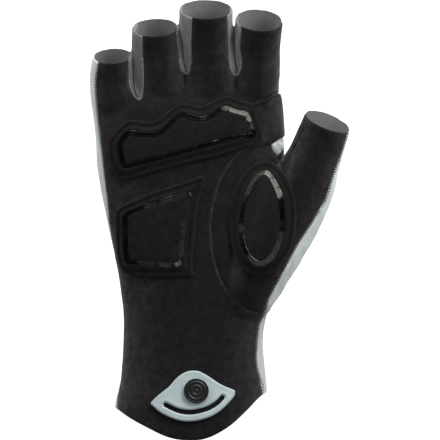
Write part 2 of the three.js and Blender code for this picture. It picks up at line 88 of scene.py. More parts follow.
# Fingers and thumb: curl and lean of the tip in degrees, then sections from root to opening.
TUBE_COLUMNS = ("up", "across", "half", "deep", "forward")
TUBES = {
    "little": (26, -3, (
        (67.5, -36, 9, 27, 0), (74.5, -39, 13, 34, 3), (81, -41.2, 11.8, 29, 8), (85.9, -40.9, 10.2, 26.5, 20))),
    "ring": (27, -1.6, (
        (72, -15.3, 14, 35, 0), (80, -16.1, 15, 37.5, 2), (87, -17.7, 13.5, 33, 9), (93, -18.7, 12, 30.6, 25))),
    "middle": (27.5, 0.6, (
        (73, 10.4, 15.5, 35, 0), (81, 10.3, 15.5, 37.5, 3), (89, 7.8, 14.4, 34, 11), (97.5, 7.8, 13.9, 32, 34))),
    "index": (31, 5, (
        (70, 32.5, 11, 29, 0), (80.5, 34, 12.5, 37.5, 3), (87.5, 34.1, 12.5, 34, 11), (94.8, 35.5, 12.3, 32.5, 31))),
    "thumb": (18, 21.5, (
        (13.8, 13, 10, 34, 8), (25, 25.5, 16.2, 43, 17), (34.5, 35.9, 18.1, 52, 25), (44.5, 48.4, 18.1, 47, 30),
        (53, 57.5, 16.9, 42, 34), (61.3, 64.8, 14, 38, 39), (69.4, 71, 12.7, 34.4, 50))),
}
TUBE_SQUARENESS = 2.15

# Outlines seen from the palm side: percent of the breadth, percent of the reach.
HEM_CURVE = (
    (-46, -0.5), (-39.6, -2), (-32.8, -4.1), (-25.5, -6), (-12.6, -8.9), (-1.7, -9.8),
    (8.8, -9.2), (19.8, -6.4), (29, -2.5), (34.8, 0.3), (39.9, 1.9), (46, 2.5),
)
OUTER_SIDE_SEAM = (
    (-40, -14), (-38.4, -0.5), (-36, 7.8), (-37.4, 17.5), (-38.5, 23.3), (-40, 30), (-43.2, 37.5),
    (-42.6, 42.5), (-43.5, 50), (-45.2, 57), (-46.9, 63.3), (-48.6, 69.8), (-49.9, 79.3),
    (-48.4, 83.9), (-48.4, 90),
)
THUMB_CROTCH = (
    (51.5, 66.5), (47.2, 65.6), (45, 64.8), (42.2, 64), (42.6, 63), (43.9, 61.9), (45.9, 60.8),
    (48.9, 62.4), (51, 64.8), (55, 68.3), (56.7, 72),
)
THUMB_SIDE_SEAM = (
    (85.8, 72), (81.4, 66.5), (77.8, 61), (73.8, 55.6), (70.1, 50.1), (64, 45.3), (54.7, 38.5),
    (46, 30.5), (40.1, 25.2), (38.7, 22.3), (35.4, 18.5), (34.4, 14), (33.9, 10.5), (34.8, 7.5),
    (36.2, 5.3), (38, 1.4), (40, -14),
)
OVERLAY_OUTLINE = (
    (28.6, 73.6), (31.5, 74), (35.2, 74.6), (39.2, 75.5), (42.5, 76.5), (47.4, 77), (51, 77.5),
    (51, 67.3), (47.2, 65.6), (45, 64.8), (42.2, 64), (36.9, 63.6), (28.6, 62.9),
)
GUSSET_OUTLINE = (
    (55, 70), (56, 76), (59.6, 75.5), (59.2, 70.5), (58.2, 67.4), (55.2, 64.5), (53, 62.6), (51.5, 60),
    (50.4, 57.5), (46.5, 59.3), (45.5, 60.8), (48.4, 62.5), (52, 65.5),
)
FORKS = {
    "little_ring": (
        ((-28.1, 75.7), (-29.9, 78), (-30.7, 82.5), (-30.8, 99)),
        ((-32.5, 99), (-32.5, 80), (-31.7, 77.8), (-29.6, 75.9), (-27.4, 75), (-25.6, 75.8),
         (-24.7, 79.6), (-25.1, 85.7), (-25.3, 99)),
    ),
    "ring_middle": (
        ((-2.9, 82.2), (-4.1, 85), (-4.6, 89.1), (-6.2, 93), (-6.5, 103)),
        ((-7.8, 103), (-7.5, 91.8), (-6.5, 87.3), (-6, 84.2), (-4.8, 82.3), (-2.8, 81.4),
         (-0.8, 82.2), (0, 85), (-0.1, 88.9), (0.4, 95.1), (0.4, 103)),
    ),
    "middle_index": (
        ((23.9, 82), (22.8, 85), (22.2, 90), (22.4, 103)),
        ((18.9, 103), (18.9, 95.5), (19.3, 88.9), (19.8, 84.6), (21.1, 82.1), (23.6, 81),
         (25.7, 82.3), (26.4, 84.6), (25.4, 87.9), (26.1, 92.3), (26.1, 103)),
    ),
}
THUMB_ARC = (36.9, 42.8, 26.5, 21)
CUFF_LINE = 23.3


def broad(percent):
    return percent / 100 * PALM_BREADTH


def reach(percent):
    return percent / 100 * HAND_REACH


def depth(percent):
    return percent / 100 * PALM_DEPTH


def on_palm(rows):
    return np.array([(broad(a), reach(u)) for a, u in rows])


def curve_through(values, count, closed=False):
    """Catmull-Rom points through rows of numbers, count steps between each two rows."""
    rows = np.asarray(values, dtype=float)
    total = len(rows)
    spans = total if closed else total - 1
    points = []
    for span in range(spans):
        if closed:
            a, b, c, d = (rows[(span + k) % total] for k in (-1, 0, 1, 2))
        else:
            b, c = rows[span], rows[span + 1]
            a = rows[span - 1] if span > 0 else 2 * b - c
            d = rows[span + 2] if span + 2 < total else 2 * c - b
        for step in range(count):
            t = step / count
            points.append(0.5 * (2 * b + (c - a) * t + (2 * a - 5 * b + 4 * c - d) * t ** 2
                                 + (3 * b - a - 3 * c + d) * t ** 3))
    if not closed:
        points.append(rows[-1])
    return np.array(points)


def new_object(name, verts, faces):
    mesh = bpy.data.meshes.new(name)
    mesh.from_pydata([tuple(v) for v in verts], [], [tuple(f) for f in faces])
    obj = bpy.data.objects.new(name, mesh)
    bpy.context.scene.collection.objects.link(obj)
    return obj


def remove(*objs):
    for obj in objs:
        mesh = obj.data
        bpy.data.objects.remove(obj, do_unlink=True)
        bpy.data.meshes.remove(mesh)


def loft(rings):
    """Closed surface over rings with the same number of points."""
    sides = len(rings[0])
    verts = np.concatenate(rings)
    faces = []
    for level in range(len(rings) - 1):
        for step in range(sides):
            low = level * sides + step
            low_next = level * sides + (step + 1) % sides
            faces.append((low, low_next, low_next + sides, low + sides))
    faces.append(tuple(range(sides - 1, -1, -1)))
    faces.append(tuple((len(rings) - 1) * sides + step for step in range(sides)))
    return verts, faces


def unit(vector):
    return vector / np.linalg.norm(vector)


def section_ring(section, grow, sides, half):
    side = unit(np.cross((0, 1, 0), section["along"]))
    rear = np.cross(section["along"], side)
    points = []
    if half is None:
        for step in range(sides):
            angle = 2 * math.pi * step / sides
            c, s = math.cos(angle), math.sin(angle)
            across = math.copysign(abs(c) ** (2 / section["square"]), c)
            deep = math.copysign(abs(s) ** (2 / section["square"]), s)
            across *= (section["right"] if c > 0 else section["left"]) + grow
            deep *= (section["back"] if s > 0 else section["front"]) + grow
            points.append(section["middle"] + side * across + rear * deep)
    else:
        right = section["right"] + MM + half
        left = -section["left"] - MM - half
        front = -section["front"] - CLEAR_SIDE
        for across, deep in ((right, front), (right, half), (left, half), (left, front)):
            points.append(section["middle"] + side * across + rear * deep)
    return np.array(points)


def body_sections(drop, between):
    rows = curve_through(BODY_ROWS, between)
    sections = []
    for up, left, right, front, back in rows:
        sections.append({
            "middle": np.array((0, 0, reach(up))), "along": np.array((0.0, 0.0, 1.0)),
            "left": broad(left), "right": broad(right), "front": depth(front), "back": depth(back),
            "square": BODY_SQUARENESS,
        })
    sections[-1]["middle"] = sections[-1]["middle"] - np.array((0, 0, drop))
    return sections


def tube_sections(tube, past, between):
    curl, lean, table = tube
    curl, lean = math.radians(curl + TIP_DROOP), math.radians(lean)
    rows = curve_through(table, between)
    middles = np.array([(broad(a), -depth(f), reach(u)) for u, a, h, d, f in rows])
    tip = np.array((math.sin(lean) * math.cos(curl), -math.sin(curl), math.cos(lean) * math.cos(curl)))
    ways = np.gradient(middles, axis=0)
    last = len(rows) - 1
    sections = []
    for index, (up, across, half, deep, forward) in enumerate(rows):
        blend = max(0.0, 1 - (last - index) / between) ** 1.5
        along = unit(unit(ways[index]) * (1 - blend) + tip * blend)
        sections.append({
            "middle": middles[index], "along": along, "left": broad(half), "right": broad(half),
            "front": depth(deep), "back": depth(deep), "square": TUBE_SQUARENESS,
        })
    if past > 0:
        sections.append({**sections[-1], "middle": middles[-1] + tip * past})
    return sections


def glove_lofts(grow, past, half=None):
    drop = max(-grow, 0)
    between = BETWEEN if half is None else 2
    parts = [loft([section_ring(s, grow, BODY_SIDES, half) for s in body_sections(drop, between)])]
    for tube in TUBES.values():
        sections = tube_sections(tube, past, between)
        rings = []
        for section in sections:
            below = (sections[-1]["middle"] - section["middle"]) @ section["along"] - past
            thin = min(max(1 - below / (9 * MM), 0), 1) if half is None and grow < 0 else 0
            rings.append(section_ring(section, grow * (1 - thin) - RIM_WALL * thin, TUBE_SIDES, half))
        parts.append(loft(rings))
    return parts


def ease_share(coords):
    """How strongly each point is smoothed: fully where fingers and thumb grow out of the hand, not at openings."""
    x, y, z = coords.T
    at_roots = np.clip(1 - np.abs(z - 0.151) / 0.022, 0, 1) * 2
    at_thumb = np.clip(1 - np.abs(x - 0.030) / 0.030, 0, 1) * np.clip(1 - np.abs(z - 0.095) / 0.055, 0, 1) * 4
    share = np.clip(np.maximum(at_roots, at_thumb), EVEN_SHARE, 1)
    for tube in TUBES.values():
        end = tube_sections(tube, 0, BETWEEN)[-1]
        offset = coords - end["middle"]
        along = offset @ end["along"]
        away = np.linalg.norm(offset - along[:, None] * end["along"], axis=1)
        near = away < end["right"] * 1.25
        share = np.where(near, share * np.clip((-along - 2 * MM) / (5 * MM), 0, 1), share)
    return share


def glove_skin(name, grow, past, voxel, rounds):
    """The lofts joined into one smooth closed surface."""
    verts, faces, start = [], [], 0
    for part_verts, part_faces in glove_lofts(grow, past):
        verts.extend(part_verts)
        faces.extend(tuple(i + start for i in face) for face in part_faces)
        start += len(part_verts)
    obj = new_object(name, verts, faces)
    remesh = obj.modifiers.new("remesh", "REMESH")
    remesh.mode = "VOXEL"
    remesh.voxel_size = voxel
    apply_modifiers(obj)
    eased = obj.vertex_groups.new(name="eased")
    for index, share in enumerate(np.round(ease_share(points_of(obj)), 2)):
        if share > 0:
            eased.add([index], float(share), "REPLACE")
    smooth = obj.modifiers.new("smooth", "SMOOTH")
    smooth.factor = 0.5
    smooth.iterations = rounds
    smooth.vertex_group = "eased"
    apply_modifiers(obj)
    obj.vertex_groups.clear()
    return obj


def points_of(obj):
    coords = np.empty(len(obj.data.vertices) * 3)
    obj.data.vertices.foreach_get("co", coords)
    return coords.reshape(-1, 3)


def set_points(obj, coords):
    obj.data.vertices.foreach_set("co", np.ascontiguousarray(coords).ravel())
    obj.data.update()


def apply_modifiers(obj):
    deps = bpy.context.evaluated_depsgraph_get()
    mesh = bpy.data.meshes.new_from_object(obj.evaluated_get(deps))
    old = obj.data
    obj.modifiers.clear()
    obj.data = mesh
    bpy.data.meshes.remove(old)


def boolean(obj, cutter, operation):
    step = obj.modifiers.new("cut", "BOOLEAN")
    step.operation = operation
    step.solver = "MANIFOLD"
    step.object = cutter
    apply_modifiers(obj)
    return obj


def copy_of(obj, name):
    twin = bpy.data.objects.new(name, obj.data.copy())
    bpy.context.scene.collection.objects.link(twin)
    return twin


def turned_left(points):
    x, z = points[:, 0], points[:, 1]
    return np.sum(x * np.roll(z, -1) - np.roll(x, -1) * z) > 0


def away_from(points, spots, closed=True):
    """Shortest way from each spot to an outline, and where along the outline it is."""
    ends = np.roll(points, -1, axis=0) if closed else points[1:]
    starts = points if closed else points[:-1]
    best = np.full(len(spots), np.inf)
    for start, end in zip(starts, ends):
        edge = end - start
        length = max(float(edge @ edge), 1e-16)
        t = np.clip((spots - start) @ edge / length, 0, 1)
        gap = np.linalg.norm(spots - start - t[:, None] * edge, axis=1)
        best = np.minimum(best, gap)
    return best


def inside(points, spots):
    x, z = spots[:, 0], spots[:, 1]
    result = np.zeros(len(spots), dtype=bool)
    for (x0, z0), (x1, z1) in zip(points, np.roll(points, -1, axis=0)):
        crosses = (z0 > z) != (z1 > z)
        rise = np.where(z1 == z0, 1e-12, z1 - z0)
        result ^= crosses & (x < (x1 - x0) * (z - z0) / rise + x0)
    return result


def grow_outline(points, length):
    if length == 0:
        return points
    turn = 1 if turned_left(points) else -1
    into = points - np.roll(points, 1, axis=0)
    out = np.roll(points, -1, axis=0) - points
    into /= np.linalg.norm(into, axis=1)[:, None]
    out /= np.linalg.norm(out, axis=1)[:, None]
    normal = np.stack((into[:, 1] + out[:, 1], -into[:, 0] - out[:, 0]), axis=1)
    normal /= np.linalg.norm(normal, axis=1)[:, None]
    spread = np.maximum(normal[:, 0] * into[:, 1] - normal[:, 1] * into[:, 0], 0.5)
    moved = points + normal * (turn * length / spread)[:, None]
    keep = away_from(points, moved) >= abs(length) * 0.97
    return moved[keep]


def block(name, points, back=CLEAR_DEPTH, bend=()):
    """A block with the given outline, standing through the glove from the palm side to a depth behind.

    Each row of bend is a depth and how far the block has moved towards +X there."""
    if not turned_left(points):
        points = points[::-1]
    count = len(points)
    layers = ((-CLEAR_DEPTH, 0.0), *bend, (back, bend[-1][1] if bend else 0.0))
    verts = [(x + shift, y, z) for y, shift in layers for x, z in points]
    faces = []
    for low in range(0, (len(layers) - 1) * count, count):
        for i in range(count):
            after = (i + 1) % count
            faces.append((low + i, low + after, low + count + after, low + count + i))
    faces.append(tuple(range(count - 1, -1, -1)))
    faces.append(tuple((len(layers) - 1) * count + i for i in range(count)))
    obj = new_object(name, verts, faces)
    mesh = bmesh.new()
    mesh.from_mesh(obj.data)
    bmesh.ops.triangulate(mesh, faces=mesh.faces)
    bmesh.ops.recalc_face_normals(mesh, faces=mesh.faces)
    mesh.to_mesh(obj.data)
    mesh.free()
    return obj


def band(points, width, extra=0.0):
    line = np.asarray(points)
    if extra > 0:
        line = np.vstack((line[0] + unit(line[0] - line[1]) * extra, line))
    ways = np.gradient(line, axis=0)
    ways /= np.linalg.norm(ways, axis=1)[:, None]
    square = np.stack((-ways[:, 1], ways[:, 0]), axis=1) * width / 2
    return np.vstack((line + square, (line - square)[::-1]))


def half_form(name, wrap):
    whole = None
    for verts, faces in glove_lofts(0, OPENING_PASS, half=wrap):
        part = new_object(name, verts, faces)
        mesh = bmesh.new()
        mesh.from_mesh(part.data)
        bmesh.ops.triangulate(mesh, faces=mesh.faces)
        bmesh.ops.recalc_face_normals(mesh, faces=mesh.faces)
        mesh.to_mesh(part.data)
        mesh.free()
        if whole is None:
            whole = part
        else:
            boolean(whole, part, "UNION")
            remove(part)
    return whole


# The fabric shell
SMOOTH_ROUNDS = 45
EVEN_SHARE = 0.2
outer_skin = glove_skin("outer_skin", 0, TIP_PASS, SKIN_VOXEL, SMOOTH_ROUNDS)
inner_skin = glove_skin("inner_skin", -WALL, OPENING_PASS, SKIN_VOXEL, SMOOTH_ROUNDS)
for slit_name, (slit, strip) in FORKS.items():
    line = curve_through(on_palm(slit), 4)
    thin = block("slit", band(line, SLIT_WIDTH), bend=SLIT_BEND)
    thick = block("slit_inner", band(line, SLIT_WIDTH + 2 * WALL, WALL), bend=SLIT_BEND)
    boolean(outer_skin, thin, "DIFFERENCE")
    boolean(inner_skin, thick, "DIFFERENCE")
    remove(thin, thick)

hem_line = curve_through(on_palm(HEM_CURVE), 6)
corners = [(broad(100), reach(0)), (broad(100), reach(110)), (broad(-100), reach(110)), (broad(-100), reach(0))]
above_hem = block("above_hem", np.vstack((hem_line, corners)))
fabric = copy_of(outer_skin, "fabric")
boolean(fabric, inner_skin, "DIFFERENCE")
boolean(fabric, above_hem, "INTERSECT")


def skin_tree(obj):
    mesh = bmesh.new()
    mesh.from_mesh(obj.data)
    tree = BVHTree.FromBMesh(mesh)
    mesh.free()
    return tree


outer_tree = skin_tree(outer_skin)
inner_tree = skin_tree(inner_skin)

OUTER_SIDE_EASE = 16 * MM


def outer_side_seam():
    """The seam of the outer side, row by row: height, place across and depth, the place across set 4 mm further out
    where the palm side doesn't show the seam.

    Where the seam passes behind the outline seen from the palm side, its depth is eased to that of the outline."""
    seam = on_palm(OUTER_SIDE_SEAM)
    levels = np.arange(reach(-13), reach(60), 1 * MM)
    skin = points_of(outer_skin)
    across = np.interp(levels, seam[:, 1], seam[:, 0])
    depths = np.full(len(levels), np.nan)
    sides = np.full(len(levels), np.nan)
    for i, level in enumerate(levels):
        near = skin[np.abs(skin[:, 2] - level) < 1.2 * MM]
        if len(near):
            sides[i] = near[near[:, 0].argmin()][1]
        place, normal, index, gap = outer_tree.ray_cast(Vector((across[i], -0.1, level)), Vector((0, 1, 0)))
        if place is not None and normal.y < -0.3:
            depths[i] = place.y
    known = ~np.isnan(sides)
    sides = np.interp(levels, levels[known], sides[known])
    shown = ~np.isnan(depths)
    border = np.where(shown, depths + 0.4 * MM, sides)
    for i in np.flatnonzero(~shown):
        below = np.flatnonzero(shown & (levels < levels[i]))[-1:]
        above = np.flatnonzero(shown & (levels > levels[i]))[:1]
        for end in (*below, *above):
            share = min(1.0, abs(levels[i] - levels[end]) / OUTER_SIDE_EASE)
            border[i] -= (sides[end] - depths[end]) * (1 - share * share * (3 - 2 * share))
    return levels, np.where(shown, across, across - 4 * MM), border


def outer_side_block():
    """What lies behind the seam of the outer side, out to the left of the glove."""
    loop = [*zip(seam_depths, seam_levels), (CLEAR_DEPTH, seam_levels[-1]), (CLEAR_DEPTH, seam_levels[0])]
    count = len(loop)
    verts = [(across, y, z) for across in (-0.1, -0.012) for y, z in loop]
    faces = [(i, (i + 1) % count, count + (i + 1) % count, count + i) for i in range(count)]
    faces += [tuple(range(count - 1, -1, -1)), tuple(range(count, 2 * count))]
    obj = new_object("outer_side", verts, faces)
    mesh = bmesh.new()
    mesh.from_mesh(obj.data)
    bmesh.ops.triangulate(mesh, faces=mesh.faces)
    bmesh.ops.recalc_face_normals(mesh, faces=mesh.faces)
    mesh.to_mesh(obj.data)
    mesh.free()
    return obj


seam_levels, seam_across, seam_depths = outer_side_seam()
front_outline = np.vstack((
    on_palm(OUTER_SIDE_SEAM[:1]),
    np.stack((seam_across, seam_levels), axis=1),
    [point for point in on_palm(OUTER_SIDE_SEAM) if point[1] > seam_levels[-1]],
    [(broad(-48.4), reach(110)), (broad(56), reach(110))],
    on_palm(THUMB_CROTCH),
    [(broad(58), reach(80)), (broad(85.8), reach(80))],
    on_palm(THUMB_SIDE_SEAM),
))
arc_angles = np.linspace(math.pi / 2, 3 * math.pi / 2, 40)
arc_points = np.array([
    (broad(THUMB_ARC[0] + THUMB_ARC[2] * math.cos(a)), reach(THUMB_ARC[1] + THUMB_ARC[3] * math.sin(a)))
    for a in arc_angles
])
thumb_outline = np.vstack((
    arc_points,
    [(broad(100), reach(THUMB_ARC[1] - THUMB_ARC[3])), (broad(100), reach(85)), (broad(53), reach(85)),
     (broad(48), reach(THUMB_ARC[1] + THUMB_ARC[3]))],
))
cuff_outline = np.array([
    (broad(-100), reach(-50)), (broad(100), reach(-50)), (broad(100), reach(CUFF_LINE)),
    (broad(-100), reach(CUFF_LINE)),
])

half_plain = half_form("half_plain", 0)
half_wrapped = half_form("half_wrapped", SIDE_SEAM_WRAP)
zones = {}
for fork_name, (slit, strip) in FORKS.items():
    zones["fourchette_" + fork_name] = boolean(block("zone", on_palm(strip)), half_wrapped, "INTERSECT")
zones["index_overlay"] = block("zone", on_palm(OVERLAY_OUTLINE), back=OVERLAY_WRAP)
zones["thumb_gusset"] = boolean(block("zone", on_palm(GUSSET_OUTLINE)), half_wrapped, "INTERSECT")
front_zone = boolean(block("zone", front_outline), half_plain, "INTERSECT")
outer_side = outer_side_block()
boolean(front_zone, outer_side, "DIFFERENCE")
remove(outer_side)
zones["thumb_panel"] = boolean(block("zone", thumb_outline), front_zone, "INTERSECT")
zones["palm_panel"] = front_zone
panels = {}
rest = fabric
for zone_name, zone in zones.items():
    panel = copy_of(rest, zone_name + "_cloth")
    panels[zone_name] = boolean(panel, zone, "INTERSECT")
    boolean(rest, zone, "DIFFERENCE")
cuff_zone = block("zone", cuff_outline)
panels["cuff_back"] = boolean(copy_of(rest, "cuff_back_cloth"), cuff_zone, "INTERSECT")
boolean(rest, cuff_zone, "DIFFERENCE")
rest.name = "back_panel_cloth"
panels["back_panel"] = rest
remove(half_plain, half_wrapped, cuff_zone, above_hem, *zones.values())


def keep_main_bodies(obj, smallest):
    """Deletes loose slivers with fewer faces than smallest."""
    mesh = bmesh.new()
    mesh.from_mesh(obj.data)
    seen = set()
    doomed = []
    for first in mesh.faces:
        if first.index in seen:
            continue
        group, stack = [], [first]
        seen.add(first.index)
        while stack:
            face = stack.pop()
            group.append(face)
            for edge in face.edges:
                for other in edge.link_faces:
                    if other.index not in seen:
                        seen.add(other.index)
                        stack.append(other)
        if len(group) < smallest:
            doomed.extend(group)
    bmesh.ops.delete(mesh, geom=doomed, context="FACES")
    mesh.to_mesh(obj.data)
    mesh.free()


def skin_facts(obj):
    """For each corner: the outward direction of the skin, and whether it lies on the outer skin."""
    coords = points_of(obj)
    normals = np.zeros_like(coords)
    on_outer = np.zeros(len(coords), dtype=bool)
    for index, co in enumerate(coords):
        spot, normal, face, gap = outer_tree.find_nearest(co)
        normals[index] = normal
        on_outer[index] = gap < 0.25 * MM
    return coords, normals, on_outer


EDGE_ROLL = 0.75 * MM
EDGE_REACH = 1.5 * MM
ROLL_SHARE = 0.45


def roll_edges(obj, roll=EDGE_ROLL, reach_in=EDGE_REACH):
    """Turns the outer edge of a sewn panel inwards along every seam and hem."""
    coords, normals, on_outer = skin_facts(obj)
    edges = set()
    for polygon in obj.data.polygons:
        marks = [on_outer[i] for i in polygon.vertices]
        if any(marks) and not all(marks):
            edges.update(i for i in polygon.vertices if on_outer[i])
    tree = kdtree.KDTree(max(len(edges), 1))
    for index in edges:
        tree.insert(coords[index], index)
    tree.balance()
    moved = coords.copy()
    for index in np.nonzero(on_outer)[0]:
        spot, near, gap = tree.find(coords[index])
        if gap is not None and gap < reach_in:
            share = 1 - gap / reach_in
            most = min(roll, inner_tree.find_nearest(coords[index])[3] * ROLL_SHARE)
            moved[index] -= normals[index] * most * (1 - math.sqrt(max(0.0, 1 - share ** 2)))
    set_points(obj, moved)


for panel in panels.values():
    keep_main_bodies(panel, 40)
    roll_edges(panel)


# Palm-side height field of the skin, for everything that is laid or sewn on it
FIELD_STEP = 1.0 * MM
FIELD_LOW = np.array((-60.0, -30.0)) * MM
FIELD_COUNT = (150, 236)


def palm_field():
    """Depth of the skin seen from the palm side on an even grid, smoothed, with misses filled from neighbours."""
    field = np.full(FIELD_COUNT, np.nan)
    for i in range(FIELD_COUNT[0]):
        for j in range(FIELD_COUNT[1]):
            x = FIELD_LOW[0] + i * FIELD_STEP
            z = FIELD_LOW[1] + j * FIELD_STEP
            spot, normal, face, gap = outer_tree.ray_cast(Vector((x, -0.2, z)), Vector((0, 1, 0)))
            if spot is not None and spot.y < 0:
                field[i, j] = spot.y
    hits = ~np.isnan(field)
    while np.isnan(field).any():
        total = np.zeros(FIELD_COUNT)
        count = np.zeros(FIELD_COUNT)
        for di, dj in ((1, 0), (-1, 0), (0, 1), (0, -1)):
            near = np.roll(field, (di, dj), axis=(0, 1))
            good = ~np.isnan(near)
            total[good] += near[good]
            count[good] += 1
        fill = np.isnan(field) & (count > 0)
        field[fill] = total[fill] / count[fill]
    return eased_field(field, 2), hits


def eased_field(field, rounds):
    for _ in range(rounds):
        near = sum(np.roll(field, shift, axis=(0, 1)) for shift in ((1, 0), (-1, 0), (0, 1), (0, -1)))
        field = field * 0.4 + near * 0.15
    return field


skin_field, skin_hits = palm_field()
pad_field = eased_field(np.minimum(skin_field, eased_field(skin_field, 60)), 6)


def field_value(grid, spots):
    """Smooth (cubic) reading of the grid at spots."""
    place = (spots - FIELD_LOW) / FIELD_STEP
    cell = np.clip(np.floor(place).astype(int), 1, np.array(FIELD_COUNT) - 3)
    t = place - cell

    def weights(s):
        return (
            (-s + 2 * s ** 2 - s ** 3) / 2, (2 - 5 * s ** 2 + 3 * s ** 3) / 2,
            (s + 4 * s ** 2 - 3 * s ** 3) / 2, (-s ** 2 + s ** 3) / 2,
        )
    value = np.zeros(len(spots))
    for a, wa in enumerate(weights(t[:, 0])):
        for b, wb in enumerate(weights(t[:, 1])):
            value += wa * wb * grid[cell[:, 0] + a - 1, cell[:, 1] + b - 1]
    return value


def on_skin(spots, lift=0.0, field=None):
    """Points on the palm side of the skin, lifted square to it, and the outward directions there."""
    grid = skin_field if field is None else field
    spots = np.asarray(spots, dtype=float)
    small = 0.5 * MM
    y = field_value(grid, spots)
    slope_x = (field_value(grid, spots + (small, 0)) - field_value(grid, spots - (small, 0))) / (2 * small)
    slope_z = (field_value(grid, spots + (0, small)) - field_value(grid, spots - (0, small))) / (2 * small)
    normals = np.stack((slope_x, -np.ones(len(spots)), slope_z), axis=1)
    normals /= np.linalg.norm(normals, axis=1)[:, None]
    points = np.stack((spots[:, 0], y, spots[:, 1]), axis=1)
    return points + normals * np.reshape(lift, (-1, 1)), normals


def nearest_on(points, spots):
    """Signed way from spots to a closed outline, positive inside, and the nearest spot on it."""
    best = np.full(len(spots), np.inf)
    nearest = np.array(spots)
    for start, end in zip(points, np.roll(points, -1, axis=0)):
        edge = end - start
        length = max(float(edge @ edge), 1e-16)
        t = np.clip((spots - start) @ edge / length, 0, 1)
        foot = start + t[:, None] * edge
        gap = np.linalg.norm(spots - foot, axis=1)
        closer = gap < best
        best[closer] = gap[closer]
        nearest[closer] = foot[closer]
    sign = np.where(inside(points, spots), 1, -1)
    return best * sign, nearest


def even_loop(points, pitch, rounds=0):
    """The same closed line with evenly spaced points, its corners eased over some rounds."""
    loop = np.vstack((points, points[:1]))
    ways = np.concatenate(([0], np.cumsum(np.linalg.norm(np.diff(loop, axis=0), axis=1))))
    count = max(int(round(ways[-1] / pitch)), 8)
    marks = np.linspace(0, ways[-1], count, endpoint=False)
    even = np.stack([np.interp(marks, ways, loop[:, k]) for k in range(loop.shape[1])], axis=1)
    for _ in range(rounds):
        even = even * 0.5 + (np.roll(even, 1, axis=0) + np.roll(even, -1, axis=0)) * 0.25
    return even


def even_line(points, pitch):
    ways = np.concatenate(([0], np.cumsum(np.linalg.norm(np.diff(points, axis=0), axis=1))))
    marks = np.arange(pitch / 2, ways[-1], pitch)
    return np.stack([np.interp(marks, ways, points[:, k]) for k in range(points.shape[1])], axis=1)


def plate(name, outline, height, spacing, hole=None, base=0.1 * MM):
    """A closed pad or plate laid on the palm side, inside an outline; height(gap, spots) gives its top."""
    low = outline.min(axis=0) - spacing
    high = outline.max(axis=0) + spacing
    xs = np.arange(low[0], high[0] + spacing, spacing)
    zs = np.arange(low[1], high[1] + spacing, spacing)
    spots = np.stack(np.meshgrid(xs, zs, indexing="ij"), axis=-1).reshape(-1, 2)
    gap, nearest = nearest_on(outline, spots)
    if hole is not None:
        hole_gap, hole_nearest = nearest_on(hole, spots)
        closer = -hole_gap < gap
        gap = np.where(closer, -hole_gap, gap)
        nearest = np.where(closer[:, None], hole_nearest, nearest)
    within = gap > 0
    spots = np.where(within[:, None], spots, nearest)
    gap = np.maximum(gap, 0)
    rows, columns = len(xs), len(zs)
    quads = []
    for i in range(rows - 1):
        for j in range(columns - 1):
            corners = (i * columns + j, (i + 1) * columns + j, (i + 1) * columns + j + 1, i * columns + j + 1)
            if any(within[c] for c in corners):
                quads.append(corners)
    used = sorted({c for quad in quads for c in quad})
    number = {old: new for new, old in enumerate(used)}
    spots, gap = spots[used], gap[used]
    top, normals = on_skin(spots, height(gap, spots), pad_field)
    bottom = on_skin(spots, base, pad_field)[0]
    count = len(used)
    quads = [tuple(number[c] for c in quad) for quad in quads]
    faces = list(quads)
    faces += [tuple(count + c for c in reversed(quad)) for quad in quads]
    directed = {(quad[k], quad[(k + 1) % 4]) for quad in quads for k in range(4)}
    for a, b in directed:
        if (b, a) not in directed:
            faces.append((b, a, a + count, b + count))
    obj = new_object(name, np.vstack((top, bottom)), faces)
    mesh = bmesh.new()
    mesh.from_mesh(obj.data)
    bmesh.ops.remove_doubles(mesh, verts=mesh.verts, dist=0.02 * MM)
    bmesh.ops.recalc_face_normals(mesh, faces=mesh.faces)
    mesh.to_mesh(obj.data)
    mesh.free()
    return obj


def profile(gap, marks):
    """Height over the way in from the edge, eased between the marks (way in, height)."""
    ways = np.array([m[0] for m in marks]) * MM
    highs = np.array([m[1] for m in marks]) * MM
    place = np.clip(np.searchsorted(ways, gap, side="right") - 1, 0, len(ways) - 2)
    t = np.clip((gap - ways[place]) / (ways[place + 1] - ways[place]), 0, 1)
    return highs[place] + (highs[place + 1] - highs[place]) * t * t * (3 - 2 * t)


def ripple(spots, size, seed):
    """Smooth seeded noise at each spot, from about -1 to 1."""
    return np.array([noise.noise(Vector((x / size, z / size, seed))) for x, z in spots])


# Pads: percent of each pad's own width and height, round its middle
KNUCKLE_PAD = (-2.9, 65.4, 77.3 * MM, 41.6 * MM)
HEEL_PAD = (-15.9, 43.5, 44.6 * MM, 50.2 * MM)
THUMB_PAD = (37.1, 45.4, 33.3 * MM, 56.9 * MM)
THUMB_PRINT = (22.4 * MM, 47 * MM)
THUMB_PAD_LEAN = math.radians(3.4)
PATCH = (1, 1.25, 41.6 * MM, 25.2 * MM)
KNUCKLE_PAD_OUTLINE = (
    (-50, -11.5), (-50, -3.8), (-46.8, 4.6), (-42.3, 13.9), (-38.2, 20.6), (-32.7, 21.6),
    (-24.1, 19.4), (-17.2, 22.6), (-10.5, 33.3), (-4.5, 40.3), (1, 41.1), (10, 37.7),
    (15.5, 41.9), (22.8, 48.7), (28.2, 50), (35.4, 45.3), (42.7, 41.1), (46.2, 25.7),
    (50, 0.5), (48.2, -5.5), (35.4, -13.7), (17.3, -23.8), (-0.8, -31.4), (-19, -40.6),
    (-37.1, -50), (-43, -47.6), (-46.8, -38.5), (-49.1, -26.6),
)
